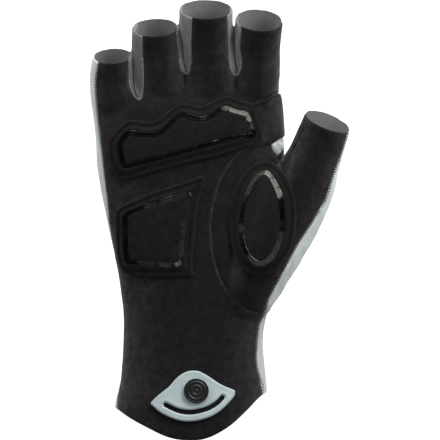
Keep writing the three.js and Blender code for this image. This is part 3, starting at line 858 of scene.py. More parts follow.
KNUCKLE_PRINT_OUTLINE = (
    (-43.1, -10.3), (-42.6, -5.3), (-38, 6.5), (-34.4, 9), (-28.1, 6.5), (-19, 6.5),
    (-14.5, 10.7), (-9.9, 20.1), (-4.5, 29.3), (1, 28.5), (8.2, 25.1), (14.6, 26.8),
    (24.6, 37.1), (32.7, 33.5), (40.9, 29.3), (42.2, 20.1), (45.4, 2.9), (35.4, -1.9),
    (26.4, -5.3), (8.2, -14.5), (-9.9, -23.8), (-29.9, -33.1), (-37.1, -36.4),
    (-39.8, -33.9), (-41.7, -23.8),
)
HEEL_PAD_OUTLINE = (
    (-50, 12.3), (-46.9, 17.1), (-40.6, 21.4), (-29.6, 25.6), (-13.8, 31.9), (1.9, 36.8),
    (17.6, 41), (35.4, 46.1), (44.3, 49.6), (49.9, 47), (42.1, 21.1), (38.7, -4.8),
    (36.5, -25.7), (35.8, -43.7), (32, -50), (-26.4, -50), (-41.4, -44.7), (-46.9, -34.2),
    (-49.3, -15.4),
)
HEEL_PRINT_OUTLINE = (
    (-38.3, 13), (-33.6, 15.8), (-9.9, 23.5), (9.8, 29.1), (29.5, 34), (35.8, 34.4),
    (31.9, 16.2), (28.6, -4.8), (26.3, -25.7), (24.7, -38.1), (13.7, -41.2), (-5.9, -40.5),
    (-21.8, -39.1), (-34.3, -36.7), (-38.3, -29.3), (-39.4, -11.8), (-39.8, 9.2),
)
PATCH_OUTLINE = (
    (-50, -14.5), (-40.3, 1.8), (-28.6, 17.4), (-18, 37), (-6.7, 47.9), (4.9, 49.1),
    (15.6, 41.6), (33.4, 22.2), (48.7, 10.9), (49.8, 4), (47.2, -5.3), (29.7, -33.1),
    (7.8, -47.9), (-13.9, -49.1), (-35.8, -35.4), (-46.9, -20.8),
)
SLOT_LINE = ((-32.6, -17.4), (-17.7, -28.7), (-2.4, -32.1), (15.1, -26.3), (27.6, -15.4), (35.2, -3))
SNAP_PLACE = (4.2, 8.7)
SLOT_WIDTH = 2.3 * MM
SNAP_RADIUS = 6.2 * MM
PRINT_WIDTH = 2.4 * MM


def on_piece(rows, piece):
    across, up, width, height = piece
    return np.array([(broad(across) + a / 100 * width, reach(up) + u / 100 * height) for a, u in rows])


def oval(piece, width, height, count=96):
    angles = np.linspace(0, 2 * math.pi, count, endpoint=False)
    x = width / 2 * np.cos(angles)
    z = height / 2 * np.sin(angles)
    c, s = math.cos(THUMB_PAD_LEAN), math.sin(THUMB_PAD_LEAN)
    return np.stack((broad(piece[0]) + c * x + s * z, reach(piece[1]) - s * x + c * z), axis=1)


# Height over the way in from the pad's edge: sewn welt, stitch channel, ridge, field.
PAD_PROFILE = (
    (0, 0.3), (0.3, 1.1), (0.8, 1.5), (1.4, 1.42), (2.3, 1.2), (3.1, 1.5), (4.0, 2.15), (5.0, 2.45), (7, 2.6), (14, 3.0),
)
PRINT_SINK = 0.7 * MM


def pad_height(print_line):
    """Top of a pad whose field sinks along the printed line."""
    def height(gap, spots):
        away = np.abs(away_from(print_line, spots))
        sink = PRINT_SINK * np.clip(1 - (away / (1.6 * MM)) ** 2, 0, 1)
        worn = ripple(spots, 9 * MM, 3.1) * 0.12 * MM + ripple(spots, 3 * MM, 8.3) * 0.04 * MM
        return profile(gap, PAD_PROFILE) - sink + worn * np.clip(gap / (3 * MM), 0, 1)
    return height


pad_spacing = 0.5 * MM
outlines = {
    "knuckle": even_loop(curve_through(on_piece(KNUCKLE_PAD_OUTLINE, KNUCKLE_PAD), 6, True), 0.8 * MM, 3),
    "heel": even_loop(curve_through(on_piece(HEEL_PAD_OUTLINE, HEEL_PAD), 6, True), 0.8 * MM, 3),
    "thumb": oval(THUMB_PAD, THUMB_PAD[2], THUMB_PAD[3], 160),
}
print_edges = {
    "knuckle": even_loop(curve_through(on_piece(KNUCKLE_PRINT_OUTLINE, KNUCKLE_PAD), 6, True), 0.5 * MM, 2),
    "heel": even_loop(curve_through(on_piece(HEEL_PRINT_OUTLINE, HEEL_PAD), 6, True), 0.5 * MM, 2),
    "thumb": oval(THUMB_PAD, *THUMB_PRINT, 260),
}
pads = {}
pad_heights = {}
print_lines = {}
for pad_name, outline in outlines.items():
    middle_line = grow_outline(print_edges[pad_name], -PRINT_WIDTH / 2)
    print_lines[pad_name] = even_loop(middle_line, 0.5 * MM, 2)
    pad_heights[pad_name] = pad_height(print_lines[pad_name])
    pads[pad_name] = plate(pad_name + "_pad_cover", outline, pad_heights[pad_name], pad_spacing)


def pad_top(pad_name, spots, lift):
    gap = nearest_on(outlines[pad_name], spots)[0]
    return on_skin(spots, pad_heights[pad_name](np.maximum(gap, 0), spots) + lift, pad_field)


def printed_line(pad_name, ragged):
    """Raised glossy line along a pad, its width and height uneven as printed silicone is."""
    line = print_lines[pad_name]
    count = len(line)
    ways = np.roll(line, -1, axis=0) - np.roll(line, 1, axis=0)
    ways /= np.linalg.norm(ways, axis=1)[:, None]
    square = np.stack((-ways[:, 1], ways[:, 0]), axis=1)
    uneven = ripple(line, 4 * MM, 5.5)
    rough = ripple(line, 1.4 * MM, 9.5)
    half = PRINT_WIDTH / 2 * (1 + ragged * (0.18 * uneven + 0.12 * rough))
    rise = 0.42 * MM * (1 + ragged * (0.3 * rough - 0.15 * uneven))
    shares = np.linspace(-1, 1, 11)
    sections = []
    for share in shares:
        spots = line + square * (half * share)[:, None]
        bulge = rise * (1 - abs(share) ** 5) ** 0.6 * (1 + 0.12 * share) + 0.04 * MM
        sections.append(pad_top(pad_name, spots, bulge)[0])
    for share in (0.9, -0.9):
        spots = line + square * (half * share)[:, None]
        sections.append(pad_top(pad_name, spots, 0.01 * MM)[0])
    verts = np.vstack(sections)
    total = len(sections)
    faces = []
    for row in range(total):
        for step in range(count):
            a = row * count + step
            b = row * count + (step + 1) % count
            c = ((row + 1) % total) * count + (step + 1) % count
            d = ((row + 1) % total) * count + step
            faces.append((a, b, c, d))
    obj = new_object(pad_name + "_print_line", verts, faces)
    mesh = bmesh.new()
    mesh.from_mesh(obj.data)
    bmesh.ops.recalc_face_normals(mesh, faces=mesh.faces)
    mesh.to_mesh(obj.data)
    mesh.free()
    mark_print(obj)
    return obj


# Where the printed lines look worn, where reflections and glints are painted on them, and where they catch the light:
# across, up and radius in millimetres, wear with painted reflection and glint (the highest values paint the glints),
# shine.
PRINT_WEAR_AND_GLINT_MARKS = (
    (35.5, 114.0, 4.0, 0.80, 0.2), (31.0, 110.5, 5.0, 0.72, 0.2), (27.5, 105.5, 4.5, 0.68, 0.2),
    (25.4, 101.0, 3.0, 0.40, 0.2), (30.5, 71.0, 3.5, 0.65, 0.2), (34.5, 68.6, 4.5, 0.75, 0.2),
    (39.5, 71.0, 5.0, 0.76, 0.2), (43.2, 76.5, 6.0, 0.70, 0.2), (44.6, 81.5, 4.0, 0.60, 0.2),
    (39.0, 113.0, 3.0, 1.30, 1.0), (41.6, 108.5, 3.5, 1.30, 1.0), (43.2, 103.5, 3.5, 1.20, 1.0),
    (44.5, 88.0, 2.5, 0.10, 0.9), (24.2, 86.0, 3.0, 0.03, 0.7),
    (17.0, 146.3, 2.5, 0.90, 0.3), (21.5, 145.0, 3.5, 1.20, 0.3), (26.0, 143.2, 3.5, 1.20, 0.3),
    (29.3, 141.0, 2.8, 1.00, 0.4), (30.8, 137.0, 2.2, 0.60, 0.6),
    (12.0, 131.0, 2.5, 0.05, 1.0), (2.0, 128.5, 2.0, 0.05, 1.0), (-14.0, 125.0, 2.5, 0.03, 0.8),
    (6.0, 142.0, 2.5, 0.05, 0.8), (-29.0, 135.0, 2.5, 0.03, 0.5), (-38.0, 127.0, 3.0, 0.03, 0.4),
    (-20.0, 97.2, 4.0, 0.35, 0.4), (-12.0, 100.0, 4.5, 0.48, 0.4), (-5.0, 101.8, 4.0, 0.42, 0.3),
    (0.2, 103.2, 1.8, 0.80, 0.5), (-1.0, 96.0, 6.5, 0.48, 0.2), (-3.0, 86.0, 7.0, 0.55, 0.2),
    (-4.6, 76.0, 6.5, 0.60, 0.2), (-6.5, 68.5, 2.6, 0.90, 0.4), (-13.0, 68.0, 4.5, 0.55, 0.3),
    (-22.0, 69.0, 5.5, 0.42, 0.3), (-34.0, 84.0, 4.0, 0.00, 0.4),
)


def mark_print(obj):
    """Stores the wear with its painted reflections and glints, and the shine, of a printed line for its material."""
    coords = points_of(obj)
    worn = np.zeros(len(coords))
    shine = np.full(len(coords), 0.08)
    for across, up, radius, wear_and_glint, gloss in np.array(PRINT_WEAR_AND_GLINT_MARKS) * (MM, MM, MM, 1, 1):
        gap = np.hypot(coords[:, 0] - across, coords[:, 2] - up)
        near = np.clip(1.6 - 1.6 * (gap / radius) ** 2, 0, 1)
        worn = np.maximum(worn, wear_and_glint * near)
        shine = np.maximum(shine, gloss * near)
    for name, values in (("worn", worn), ("shine", shine)):
        layer = obj.data.attributes.new(name, "FLOAT", "POINT")
        layer.data.foreach_set("value", values)


prints = {
    "knuckle": printed_line("knuckle", 1.0),
    "heel": printed_line("heel", 1.0),
    "thumb": printed_line("thumb", 0.4),
}

# Snap patch and snap
patch_loop = even_loop(curve_through(on_piece(PATCH_OUTLINE, PATCH), 8, True), 0.5 * MM, 2)
slot_line = even_line(curve_through(on_piece(SLOT_LINE, PATCH), 10), 0.4 * MM)


def rounded_band(line, width, steps=8):
    """Outline of a band along a line, with round ends."""
    ways = np.gradient(line, axis=0)
    ways /= np.linalg.norm(ways, axis=1)[:, None]
    square = np.stack((-ways[:, 1], ways[:, 0]), axis=1) * width / 2
    angles = np.linspace(0, math.pi, steps + 2)[1:-1]
    end = [line[-1] + square[-1] * math.cos(a) + ways[-1] * math.sin(a) * width / 2 for a in angles]
    start = [line[0] - square[0] * math.cos(a) - ways[0] * math.sin(a) * width / 2 for a in angles]
    return np.vstack((line + square, end, (line - square)[::-1], start))


slot_loop = rounded_band(slot_line, SLOT_WIDTH)
PATCH_PROFILE = ((0, 0.75), (0.2, 1.3), (0.55, 1.6), (1.1, 1.72), (1.6, 1.6), (2.6, 1.55), (12, 1.75))


def patch_height(gap, spots):
    return profile(gap, PATCH_PROFILE) + ripple(spots, 6 * MM, 2.2) * 0.03 * MM


patch = plate("snap_patch_moulding", patch_loop, patch_height, (0.35) * MM, slot_loop)
floor_loop = rounded_band(slot_line, SLOT_WIDTH + 0.8 * MM)
snap_spot = on_piece((SNAP_PLACE,), PATCH)
snap_seat, snap_way = on_skin(snap_spot, 1.72 * MM)
SNAP_PROFILE = (
    (0, 1.9), (0.09, 1.88), (0.14, 1.62), (0.2, 1.58), (0.26, 1.86), (0.4, 1.98), (0.46, 1.9), (0.5, 1.5),
    (0.56, 1.45), (0.62, 1.82), (0.7, 1.95), (0.76, 1.86), (0.8, 1.5), (0.86, 1.5), (0.92, 1.72),
    (0.98, 1.6), (1, 1.3), (1, 0.4), (0.94, -0.2),
)


def lathe(name, rows, seat, way, sides=72):
    """A turned piece: rows give the share of the radius and the height in millimetres, from the middle out."""
    way = unit(np.asarray(way))
    across = unit(np.cross(way, (0, 0, 1)))
    other = np.cross(way, across)
    verts = [seat + way * rows[0][1] * MM]
    for share, height in rows[1:]:
        for step in range(sides):
            angle = 2 * math.pi * step / sides
            spoke = across * math.cos(angle) + other * math.sin(angle)
            verts.append(seat + spoke * share * SNAP_RADIUS + way * height * MM)
    faces = [(0, 1 + step, 1 + (step + 1) % sides) for step in range(sides)]
    for level in range(len(rows) - 2):
        for step in range(sides):
            a = 1 + level * sides + step
            b = 1 + level * sides + (step + 1) % sides
            faces.append((a, a + sides, b + sides, b))
    last = 1 + (len(rows) - 2) * sides
    faces.append(tuple(last + step for step in range(sides)))
    obj = new_object(name, verts, faces)
    mesh = bmesh.new()
    mesh.from_mesh(obj.data)
    bmesh.ops.recalc_face_normals(mesh, faces=mesh.faces)
    mesh.to_mesh(obj.data)
    mesh.free()
    return obj


snap = lathe("press_snap", SNAP_PROFILE, snap_seat[0], snap_way[0])

# Stitches
def threads(name, places, ways, normals, length, radius, arch=0.25):
    """Short thread loops: one small capsule for each place, along its way, bent down at both ends."""
    verts, faces = [], []
    rows = ((-0.5, 0.35), (-0.42, 0.85), (-0.2, 1), (0.2, 1), (0.42, 0.85), (0.5, 0.35))
    sides = 6
    for place, way, normal in zip(places, ways, normals):
        way = unit(way - normal * (way @ normal))
        side = np.cross(normal, way)
        start = len(verts)
        for along, thick in rows:
            centre = place + way * along * length - normal * arch * radius * (2 * along) ** 4 * 3
            for step in range(sides):
                angle = 2 * math.pi * step / sides
                verts.append(centre + (side * math.cos(angle) + normal * math.sin(angle)) * radius * thick)
        for level in range(len(rows) - 1):
            for step in range(sides):
                a = start + level * sides + step
                b = start + level * sides + (step + 1) % sides
                faces.append((a, b, b + sides, a + sides))
        faces.append(tuple(start + step for step in reversed(range(sides))))
        faces.append(tuple(start + (len(rows) - 1) * sides + step for step in range(sides)))
    return new_object(name, verts, faces)


def ways_along(points, closed):
    if closed:
        return np.roll(points, -1, axis=0) - np.roll(points, 1, axis=0)
    return np.gradient(points, axis=0)


STITCH_CHANNEL = 2.3 * MM
stitches = []
for pad_name, outline in outlines.items():
    channel = even_loop(grow_outline(outline, -STITCH_CHANNEL), 1.8 * MM)
    places, normals = pad_top(pad_name, channel, 0.02 * MM)
    stitches.append(threads(pad_name + "_pad_stitches", places, ways_along(places, True), normals, 1.0 * MM, 0.36 * MM))


THREAD_REACH = 0.9 * MM


def seam_threads(name, line, pitch, length, radius, lift, crossing, beside=0.0):
    """Thread along a seam of the palm side, or across it when crossing, set beside it by a length."""
    spots = even_line(line, pitch)
    ways = ways_along(spots, False)
    ways /= np.linalg.norm(ways, axis=1)[:, None]
    square = np.stack((-ways[:, 1], ways[:, 0]), axis=1)
    spots = spots + square * beside
    cells = np.round((spots - FIELD_LOW) / FIELD_STEP).astype(int)
    over_hem = spots[:, 1] > np.interp(spots[:, 0], hem_line[:, 0], hem_line[:, 1]) + length
    seen = skin_hits[cells[:, 0], cells[:, 1]] & over_hem
    spots, ways, square = spots[seen], ways[seen], square[seen]
    places, normals = on_skin(spots)
    seats = [outer_tree.find_nearest(place) for place in places]
    close = np.array([seat[3] < THREAD_REACH and seat[1].z < 0.5 for seat in seats])
    places = np.array([seat[0] + seat[1] * lift for seat in seats])[close]
    normals = np.array([seat[1] for seat in seats])[close]
    ways, square = ways[close], square[close]
    flat = square if crossing else ways
    ways_3d = np.stack((flat[:, 0], np.zeros(len(flat)), flat[:, 1]), axis=1)
    return threads(name, places, ways_3d, normals, length, radius)


left_seam = curve_through(on_palm(OUTER_SIDE_SEAM), 6)
right_seam = curve_through(on_palm(THUMB_SIDE_SEAM), 6)
overlay_seam = curve_through(on_palm(OVERLAY_OUTLINE[:6]), 6)
overlay_hem = curve_through(on_palm(OVERLAY_OUTLINE[8:]), 6)
SEAM_EDGE = 0.15 * MM
side_threads = [
    seam_threads("outer_side_stitches", left_seam, 1.25 * MM, 1.3 * MM, 0.26 * MM, -0.1 * MM, True, SEAM_EDGE),
    seam_threads("thumb_side_stitches", right_seam, 1.25 * MM, 1.3 * MM, 0.26 * MM, -0.1 * MM, True, SEAM_EDGE),
]
overlay_threads = [
    seam_threads("overlay_stitches", overlay_seam, 2.0 * MM, 1.5 * MM, 0.24 * MM, 0.75 * MM, False, -1.3 * MM),
    seam_threads("overlay_hem_stitches", overlay_hem, 2.0 * MM, 1.4 * MM, 0.2 * MM, 0.7 * MM, False, -1.6 * MM),
]
arc_threads = seam_threads("thumb_arc_stitches", arc_points, 2.2 * MM, 1.5 * MM, 0.18 * MM, 0.02 * MM, False, 1.3 * MM)
fork_threads = []
for fork_name, (slit, strip) in FORKS.items():
    rim = curve_through(on_palm(strip[1:-1]), 6)
    fork_threads.append(
        seam_threads("strip_stitches_" + fork_name, rim, 1.0 * MM, 1.2 * MM, 0.3 * MM, 0.1 * MM, True, 0.3 * MM))


# Folds and unevenness of the cloth panels, on the outer side only
# Fold in the web between thumb and palm, seen from the palm side: across, up and depth in millimetres.
WEB_FOLD = ((54.5, 134.0, 0.6), (51.8, 127.5, 1.3), (49.2, 121.5, 2.2), (47.6, 117.5, 2.6), (47.8, 113.5, 1.2))
WEB_FOLD_HALF = 1.9 * MM


def web_fold(coords):
    """How far the whole wall is drawn in at the fold of the web, eased out towards the back of the hand."""
    line = curve_through(WEB_FOLD, 6) * MM
    depths = np.zeros(len(coords))
    for across, up, deep in line:
        gap = np.hypot(coords[:, 0] - across, coords[:, 2] - up)
        depths = np.maximum(depths, deep * np.exp(-(gap / WEB_FOLD_HALF) ** 2))
    return depths * np.clip((6 * MM - coords[:, 1]) / (8 * MM), 0, 1)


def push(obj, amount):
    """Moves the outer side square to the skin by amount(coords, normals), and both sides in at the web fold."""
    coords, normals, on_outer = skin_facts(obj)
    moved = coords + normals * (amount(coords, normals) * on_outer)[:, None]
    moved[:, 1] += web_fold(coords)
    set_points(obj, moved)


def fold_noise(coords, scale, seed):
    return np.array([noise.noise(Vector((x / scale[0], y / scale[1], z / scale[2] + seed))) for x, y, z in coords])


def stretch_folds(coords, normals):
    """Fine folds of the pale stretch fabric, running up the hand, strongest beside the thumb."""
    fine = fold_noise(coords, (3.0 * MM, 5 * MM, 16 * MM), 3.7)
    broad_folds = fold_noise(coords, (9 * MM, 12 * MM, 26 * MM), 11.2)
    beside_thumb = np.clip((coords[:, 0] - 0.02) / 0.02, 0, 1) * np.clip((0.15 - coords[:, 2]) / 0.03, 0, 1)
    return (0.16 + 0.26 * beside_thumb) * MM * fine + (0.25 + 0.3 * beside_thumb) * MM * broad_folds


def crotch_folds(coords):
    centre = np.array((46.0, -8.0, 127.0)) * MM
    near = np.clip(1 - np.linalg.norm((coords - centre) / (9 * MM, 16 * MM, 14 * MM), axis=1), 0, 1)
    ridges = np.sin((coords[:, 0] * 0.9 + coords[:, 2] * 0.75) / (0.5 * MM)
                    + 3 * fold_noise(coords, (5 * MM, 5 * MM, 5 * MM), 1.3))
    return near * ridges * 0.35 * MM


def suede_rolls(coords, normals):
    """Soft waves in the palm, and shallow cross folds at the finger roots."""
    waves = fold_noise(coords, (16 * MM, 20 * MM, 12 * MM), 5.1) * 0.35 * MM
    at_roots = np.exp(-((coords[:, 2] - 0.164) / (9 * MM)) ** 2)
    cross = np.sin(coords[:, 2] / (1.35 * MM) + 2.5 * fold_noise(coords, (14 * MM, 14 * MM, 10 * MM), 2.6))
    return waves + at_roots * cross * 0.1 * MM


def strip_folds(coords, normals):
    """Small gathers at the foot of each side strip between the fingers."""
    low = coords[:, 2].min()
    near = np.clip(1 - (coords[:, 2] - low) / (9 * MM), 0, 1)
    return near * 0.3 * MM * np.sin(coords[:, 0] / (0.45 * MM) + 6 * coords[:, 2] / (4 * MM))


panel_shapes = {
    "palm_panel": suede_rolls,
    "thumb_panel": suede_rolls,
    "thumb_gusset": lambda coords, normals: fold_noise(coords, (4 * MM, 6 * MM, 8 * MM), 4.4) * 0.3 * MM,
    "index_overlay": lambda coords, normals: 0.6 * MM + fold_noise(coords, (9 * MM, 9 * MM, 7 * MM), 6.3) * 0.25 * MM,
    "fourchette_little_ring": strip_folds,
    "fourchette_ring_middle": strip_folds,
    "fourchette_middle_index": strip_folds,
    "back_panel": lambda coords, normals: stretch_folds(coords, normals) + crotch_folds(coords),
    "cuff_back": stretch_folds,
}


# Materials. Every colour is linear; every scale is in features a metre.
def new_material(name, rough, sheen=0.0, sheen_tint=(1, 1, 1), specular=0.5, coat=0.0):
    material = bpy.data.materials.new(name)
    material.use_nodes = True
    shader = material.node_tree.nodes["Principled BSDF"]
    shader.inputs["Roughness"].default_value = rough
    shader.inputs["Sheen Weight"].default_value = sheen
    shader.inputs["Sheen Roughness"].default_value = 0.45
    shader.inputs["Sheen Tint"].default_value = (*sheen_tint, 1)
    shader.inputs["Specular IOR Level"].default_value = specular
    shader.inputs["Coat Weight"].default_value = coat
    return material, shader


def add_node(material, kind, **values):
    node = material.node_tree.nodes.new(kind)
    for key, value in values.items():
        if key in node.inputs:
            node.inputs[key].default_value = value
        else:
            setattr(node, key, value)
    return node


def link(material, out, into):
    material.node_tree.links.new(out, into)


def noise_on(material, place, scale, detail=3.0, stretch=None):
    node = add_node(material, "ShaderNodeTexNoise", Scale=scale, Detail=detail, Roughness=0.6)
    if stretch is None:
        link(material, place, node.inputs["Vector"])
        return node.outputs["Fac"]
    mapping = add_node(material, "ShaderNodeMapping")
    mapping.inputs["Scale"].default_value = stretch
    link(material, place, mapping.inputs["Vector"])
    link(material, mapping.outputs["Vector"], node.inputs["Vector"])
    return node.outputs["Fac"]


def ramp_on(material, value, stops):
    node = add_node(material, "ShaderNodeValToRGB")
    elements = node.color_ramp.elements
    for index, (place, colour) in enumerate(stops):
        element = elements[index] if index < 2 else elements.new(place)
        element.position = place
        element.color = (*colour, 1)
    link(material, value, node.inputs["Fac"])
    return node.outputs["Color"]


def bump_on(material, shader, layers):
    """Bump layers in a chain: each is a height, a strength and a depth in metres."""
    last = None
    for height, strength, distance in layers:
        bump = add_node(material, "ShaderNodeBump", Strength=strength, Distance=distance)
        link(material, height, bump.inputs["Height"])
        if last is not None:
            link(material, last, bump.inputs["Normal"])
        last = bump.outputs["Normal"]
    link(material, last, shader.inputs["Normal"])


def place_in(material):
    return add_node(material, "ShaderNodeTexCoord").outputs["Object"]


def rough_on(material, shader, value, low, high):
    node = add_node(material, "ShaderNodeMapRange")
    node.inputs["To Min"].default_value = low
    node.inputs["To Max"].default_value = high
    link(material, value, node.inputs["Value"])
    link(material, node.outputs["Result"], shader.inputs["Roughness"])


def painted_side_sheen(material, colour, share):
    """Painted sheen: lightens a colour where the surface turns to the left or the right, standing in for the light that
    the suede's sides catch.
    """
    facing = add_node(material, "ShaderNodeNewGeometry")
    axes = add_node(material, "ShaderNodeSeparateXYZ")
    link(material, facing.outputs["Normal"], axes.inputs["Vector"])
    turned = add_node(material, "ShaderNodeMath", operation="ABSOLUTE")
    link(material, axes.outputs["X"], turned.inputs[0])
    gain = add_node(material, "ShaderNodeMapRange")
    gain.inputs["From Min"].default_value = 0.15
    gain.inputs["From Max"].default_value = 0.85
    gain.inputs["To Min"].default_value = 1
    gain.inputs["To Max"].default_value = share
    link(material, turned.outputs["Value"], gain.inputs["Value"])
    shade = add_node(material, "ShaderNodeVectorMath", operation="SCALE")
    link(material, colour, shade.inputs[0])
    link(material, gain.outputs["Result"], shade.inputs["Scale"])
    return shade.outputs["Vector"]


def suede_material(name, dark, light, nap, side_sheen_share):
    material, shader = new_material(name, 0.92, sheen=nap, sheen_tint=(0.95, 0.9, 0.88), specular=0.25)
    place = place_in(material)
    mottle = noise_on(material, place, 260, 4.0)
    grain = noise_on(material, place, 1900, 2.0)
    mix = add_node(material, "ShaderNodeMix", data_type="FLOAT")
    mix.inputs["Factor"].default_value = 0.55
    link(material, mottle, mix.inputs["A"])
    link(material, grain, mix.inputs["B"])
    colour = ramp_on(material, mix.outputs["Result"], ((0.36, dark), (0.64, light)))
    # The suede's sides are lightened by painted sheen.
    link(material, painted_side_sheen(material, colour, side_sheen_share), shader.inputs["Base Color"])
    fibre = noise_on(material, place, 900, 3.0, stretch=(1, 1, 0.45))
    bump_on(material, shader, ((grain, 0.55, 0.25 * MM), (fibre, 0.4, 0.3 * MM), (mottle, 0.25, 0.4 * MM)))
    return material


def painted_foot_shade(material, place, colour, low, high, share):
    """Painted shade: darkens a colour towards a lower height, down to a share of it, standing in for the shade low
    between the fingers.
    """
    axes = add_node(material, "ShaderNodeSeparateXYZ")
    link(material, place, axes.inputs["Vector"])
    height = add_node(material, "ShaderNodeMapRange")
    height.inputs["From Min"].default_value = low
    height.inputs["From Max"].default_value = high
    height.inputs["To Min"].default_value = share
    link(material, axes.outputs["Z"], height.inputs["Value"])
    shade = add_node(material, "ShaderNodeVectorMath", operation="SCALE")
    link(material, colour, shade.inputs[0])
    link(material, height.outputs["Result"], shade.inputs["Scale"])
    return shade.outputs["Vector"]


def knit_material(name, dark, light, sheen, rough, foot=None):
    material, shader = new_material(name, rough, sheen=sheen, specular=0.4)
    place = place_in(material)
    waves = noise_on(material, place, 120, 3.0, stretch=(1, 1, 0.35))
    ribs = add_node(material, "ShaderNodeTexWave", Scale=240, Distortion=0.6, bands_direction="X")
    rows = add_node(material, "ShaderNodeTexWave", Scale=240, Distortion=0.6, bands_direction="Z")
    link(material, place, ribs.inputs["Vector"])
    link(material, place, rows.inputs["Vector"])
    tone = noise_on(material, place, 700, 2.0)
    mix = add_node(material, "ShaderNodeMix", data_type="FLOAT")
    mix.inputs["Factor"].default_value = 0.4
    link(material, waves, mix.inputs["A"])
    link(material, tone, mix.inputs["B"])
    colour = ramp_on(material, mix.outputs["Result"], ((0.3, dark), (0.7, light)))
    # A foot, when given, paints shade towards the lower end of the piece.
    if foot is not None:
        colour = painted_foot_shade(material, place, colour, *foot)
    link(material, colour, shader.inputs["Base Color"])
    rough_on(material, shader, tone, rough - 0.08, rough + 0.08)
    bump_on(material, shader, (
        (waves, 0.35, 0.8 * MM), (ribs.outputs["Fac"], 0.25, 0.12 * MM), (rows.outputs["Fac"], 0.25, 0.12 * MM)))
    return material


def print_material(name):
    """Black silicone: mirror-like where it shines, greyish where it is worn and where reflections are painted, pale and
    warm where glints are painted, and broken up by fine smears.
    """
    material, shader = new_material(name, 0.16)
    place = place_in(material)
    smear = noise_on(material, place, 420, 3.0)
    broken = noise_on(material, place, 900, 2.0, stretch=(1, 1, 0.6))
    # The worn attribute holds the wear together with painted reflections and glints.
    worn = add_node(material, "ShaderNodeAttribute", attribute_name="worn").outputs["Fac"]
    shine = add_node(material, "ShaderNodeAttribute", attribute_name="shine").outputs["Fac"]
    uneven = add_node(material, "ShaderNodeMath", operation="MULTIPLY")
    patchy = add_node(material, "ShaderNodeMapRange")
    patchy.inputs["From Min"].default_value = 0.36
    patchy.inputs["From Max"].default_value = 0.6
    patchy.inputs["To Min"].default_value = 0.82
    link(material, broken, patchy.inputs["Value"])
    link(material, worn, uneven.inputs[0])
    link(material, patchy.outputs["Result"], uneven.inputs[1])
    link(material, ramp_on(material, uneven.outputs["Value"], PRINT_WEAR_AND_GLINT_TONES), shader.inputs["Base Color"])
    for name_in, dull, bright in (("Specular IOR Level", 0.12, 1.0), ("Coat Weight", 0.0, 1.0)):
        gloss = add_node(material, "ShaderNodeMapRange")
        gloss.inputs["To Min"].default_value = dull
        gloss.inputs["To Max"].default_value = bright
        link(material, shine, gloss.inputs["Value"])
        link(material, gloss.outputs["Result"], shader.inputs[name_in])
    rough_on(material, shader, smear, 0.1, 0.3)
    bump_on(material, shader, ((smear, 0.4, 0.4 * MM), (broken, 0.35, 0.2 * MM)))
    return material


def rubber_material(name, dark, light, rough, specular=0.5):
    material, shader = new_material(name, rough, specular=specular)
    place = place_in(material)
    cloud = noise_on(material, place, 150, 4.0)
    fine = noise_on(material, place, 2200, 2.0)
    link(material, ramp_on(material, cloud, ((0.3, dark), (0.7, light))), shader.inputs["Base Color"])
    rough_on(material, shader, cloud, rough - 0.06, rough + 0.1)
    bump_on(material, shader, ((fine, 0.25, 0.06 * MM), (cloud, 0.12, 0.3 * MM)))
    return material


def thread_material(name, dark, light):
    material, shader = new_material(name, 0.85, specular=0.15)
    place = place_in(material)
    twist = add_node(material, "ShaderNodeTexWave", Scale=1400, Distortion=1.5, bands_direction="DIAGONAL")
    link(material, place, twist.inputs["Vector"])
    link(material, ramp_on(material, twist.outputs["Fac"], ((0.2, dark), (0.8, light))), shader.inputs["Base Color"])
    bump_on(material, shader, ((twist.outputs["Fac"], 0.5, 0.1 * MM),))
    return material


# Tones of the printed lines over the worn value: the greys are partly wear and partly painted reflection, the pale warm
# top is a painted glint.
PRINT_WEAR_AND_GLINT_TONES = (
    (0.0, (0.0015, 0.0015, 0.0015)), (0.45, (0.014, 0.014, 0.0135)), (0.75, (0.05, 0.05, 0.049)),
    (1.0, (0.19, 0.18, 0.15)),
)
# The last number of each suede is how much painted sheen lightens its sides.
suede = suede_material("suede", (0.0022, 0.0019, 0.0020), (0.0152, 0.0134, 0.0138), 0.18, 4.2)
pad_suede = suede_material("pad_suede", (0.0021, 0.0019, 0.0020), (0.0125, 0.0116, 0.0119), 0.12, 1.4)
silver_knit = knit_material("silver_knit", (0.66, 0.72, 0.71), (0.82, 0.88, 0.865), 0.0, 0.6)
warm_knit = knit_material("warm_knit", (0.48, 0.465, 0.467), (0.60, 0.58, 0.585), 0.0, 0.7)
# The side strips between the fingers get painted shade: below 0.190 m their colour falls, down to 0.26 of itself at
# 0.152 m.
grey_strip = knit_material("grey_strip", (0.19, 0.19, 0.193), (0.34, 0.34, 0.345), 0.2, 0.75, foot=(0.152, 0.190, 0.26))
inside_cloth = knit_material("inside_cloth", (0.22, 0.22, 0.222), (0.28, 0.28, 0.282), 0.1, 0.8)
gloss_print = print_material("gloss_print")
pale_rubber = rubber_material("pale_rubber", (0.45, 0.54, 0.555), (0.54, 0.63, 0.645), 0.42)
snap_black = rubber_material("snap_black", (0.006, 0.006, 0.0065), (0.014, 0.014, 0.015), 0.38)
dark_thread = thread_material("dark_thread", (0.002, 0.002, 0.002), (0.012, 0.012, 0.012))
grey_thread = thread_material("grey_thread", (0.16, 0.16, 0.16), (0.36, 0.36, 0.36))


def finish_piece(obj, name, materials, nodes=(), sharp=50):
    obj.name = name
    obj.data.name = name
    obj.data.materials.clear()
    for material in materials:
        obj.data.materials.append(material)
    obj.data.shade_smooth()
    obj.data.set_sharp_from_angle(angle=math.radians(sharp))
    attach(obj, "root")
    if nodes:
        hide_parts(*nodes)


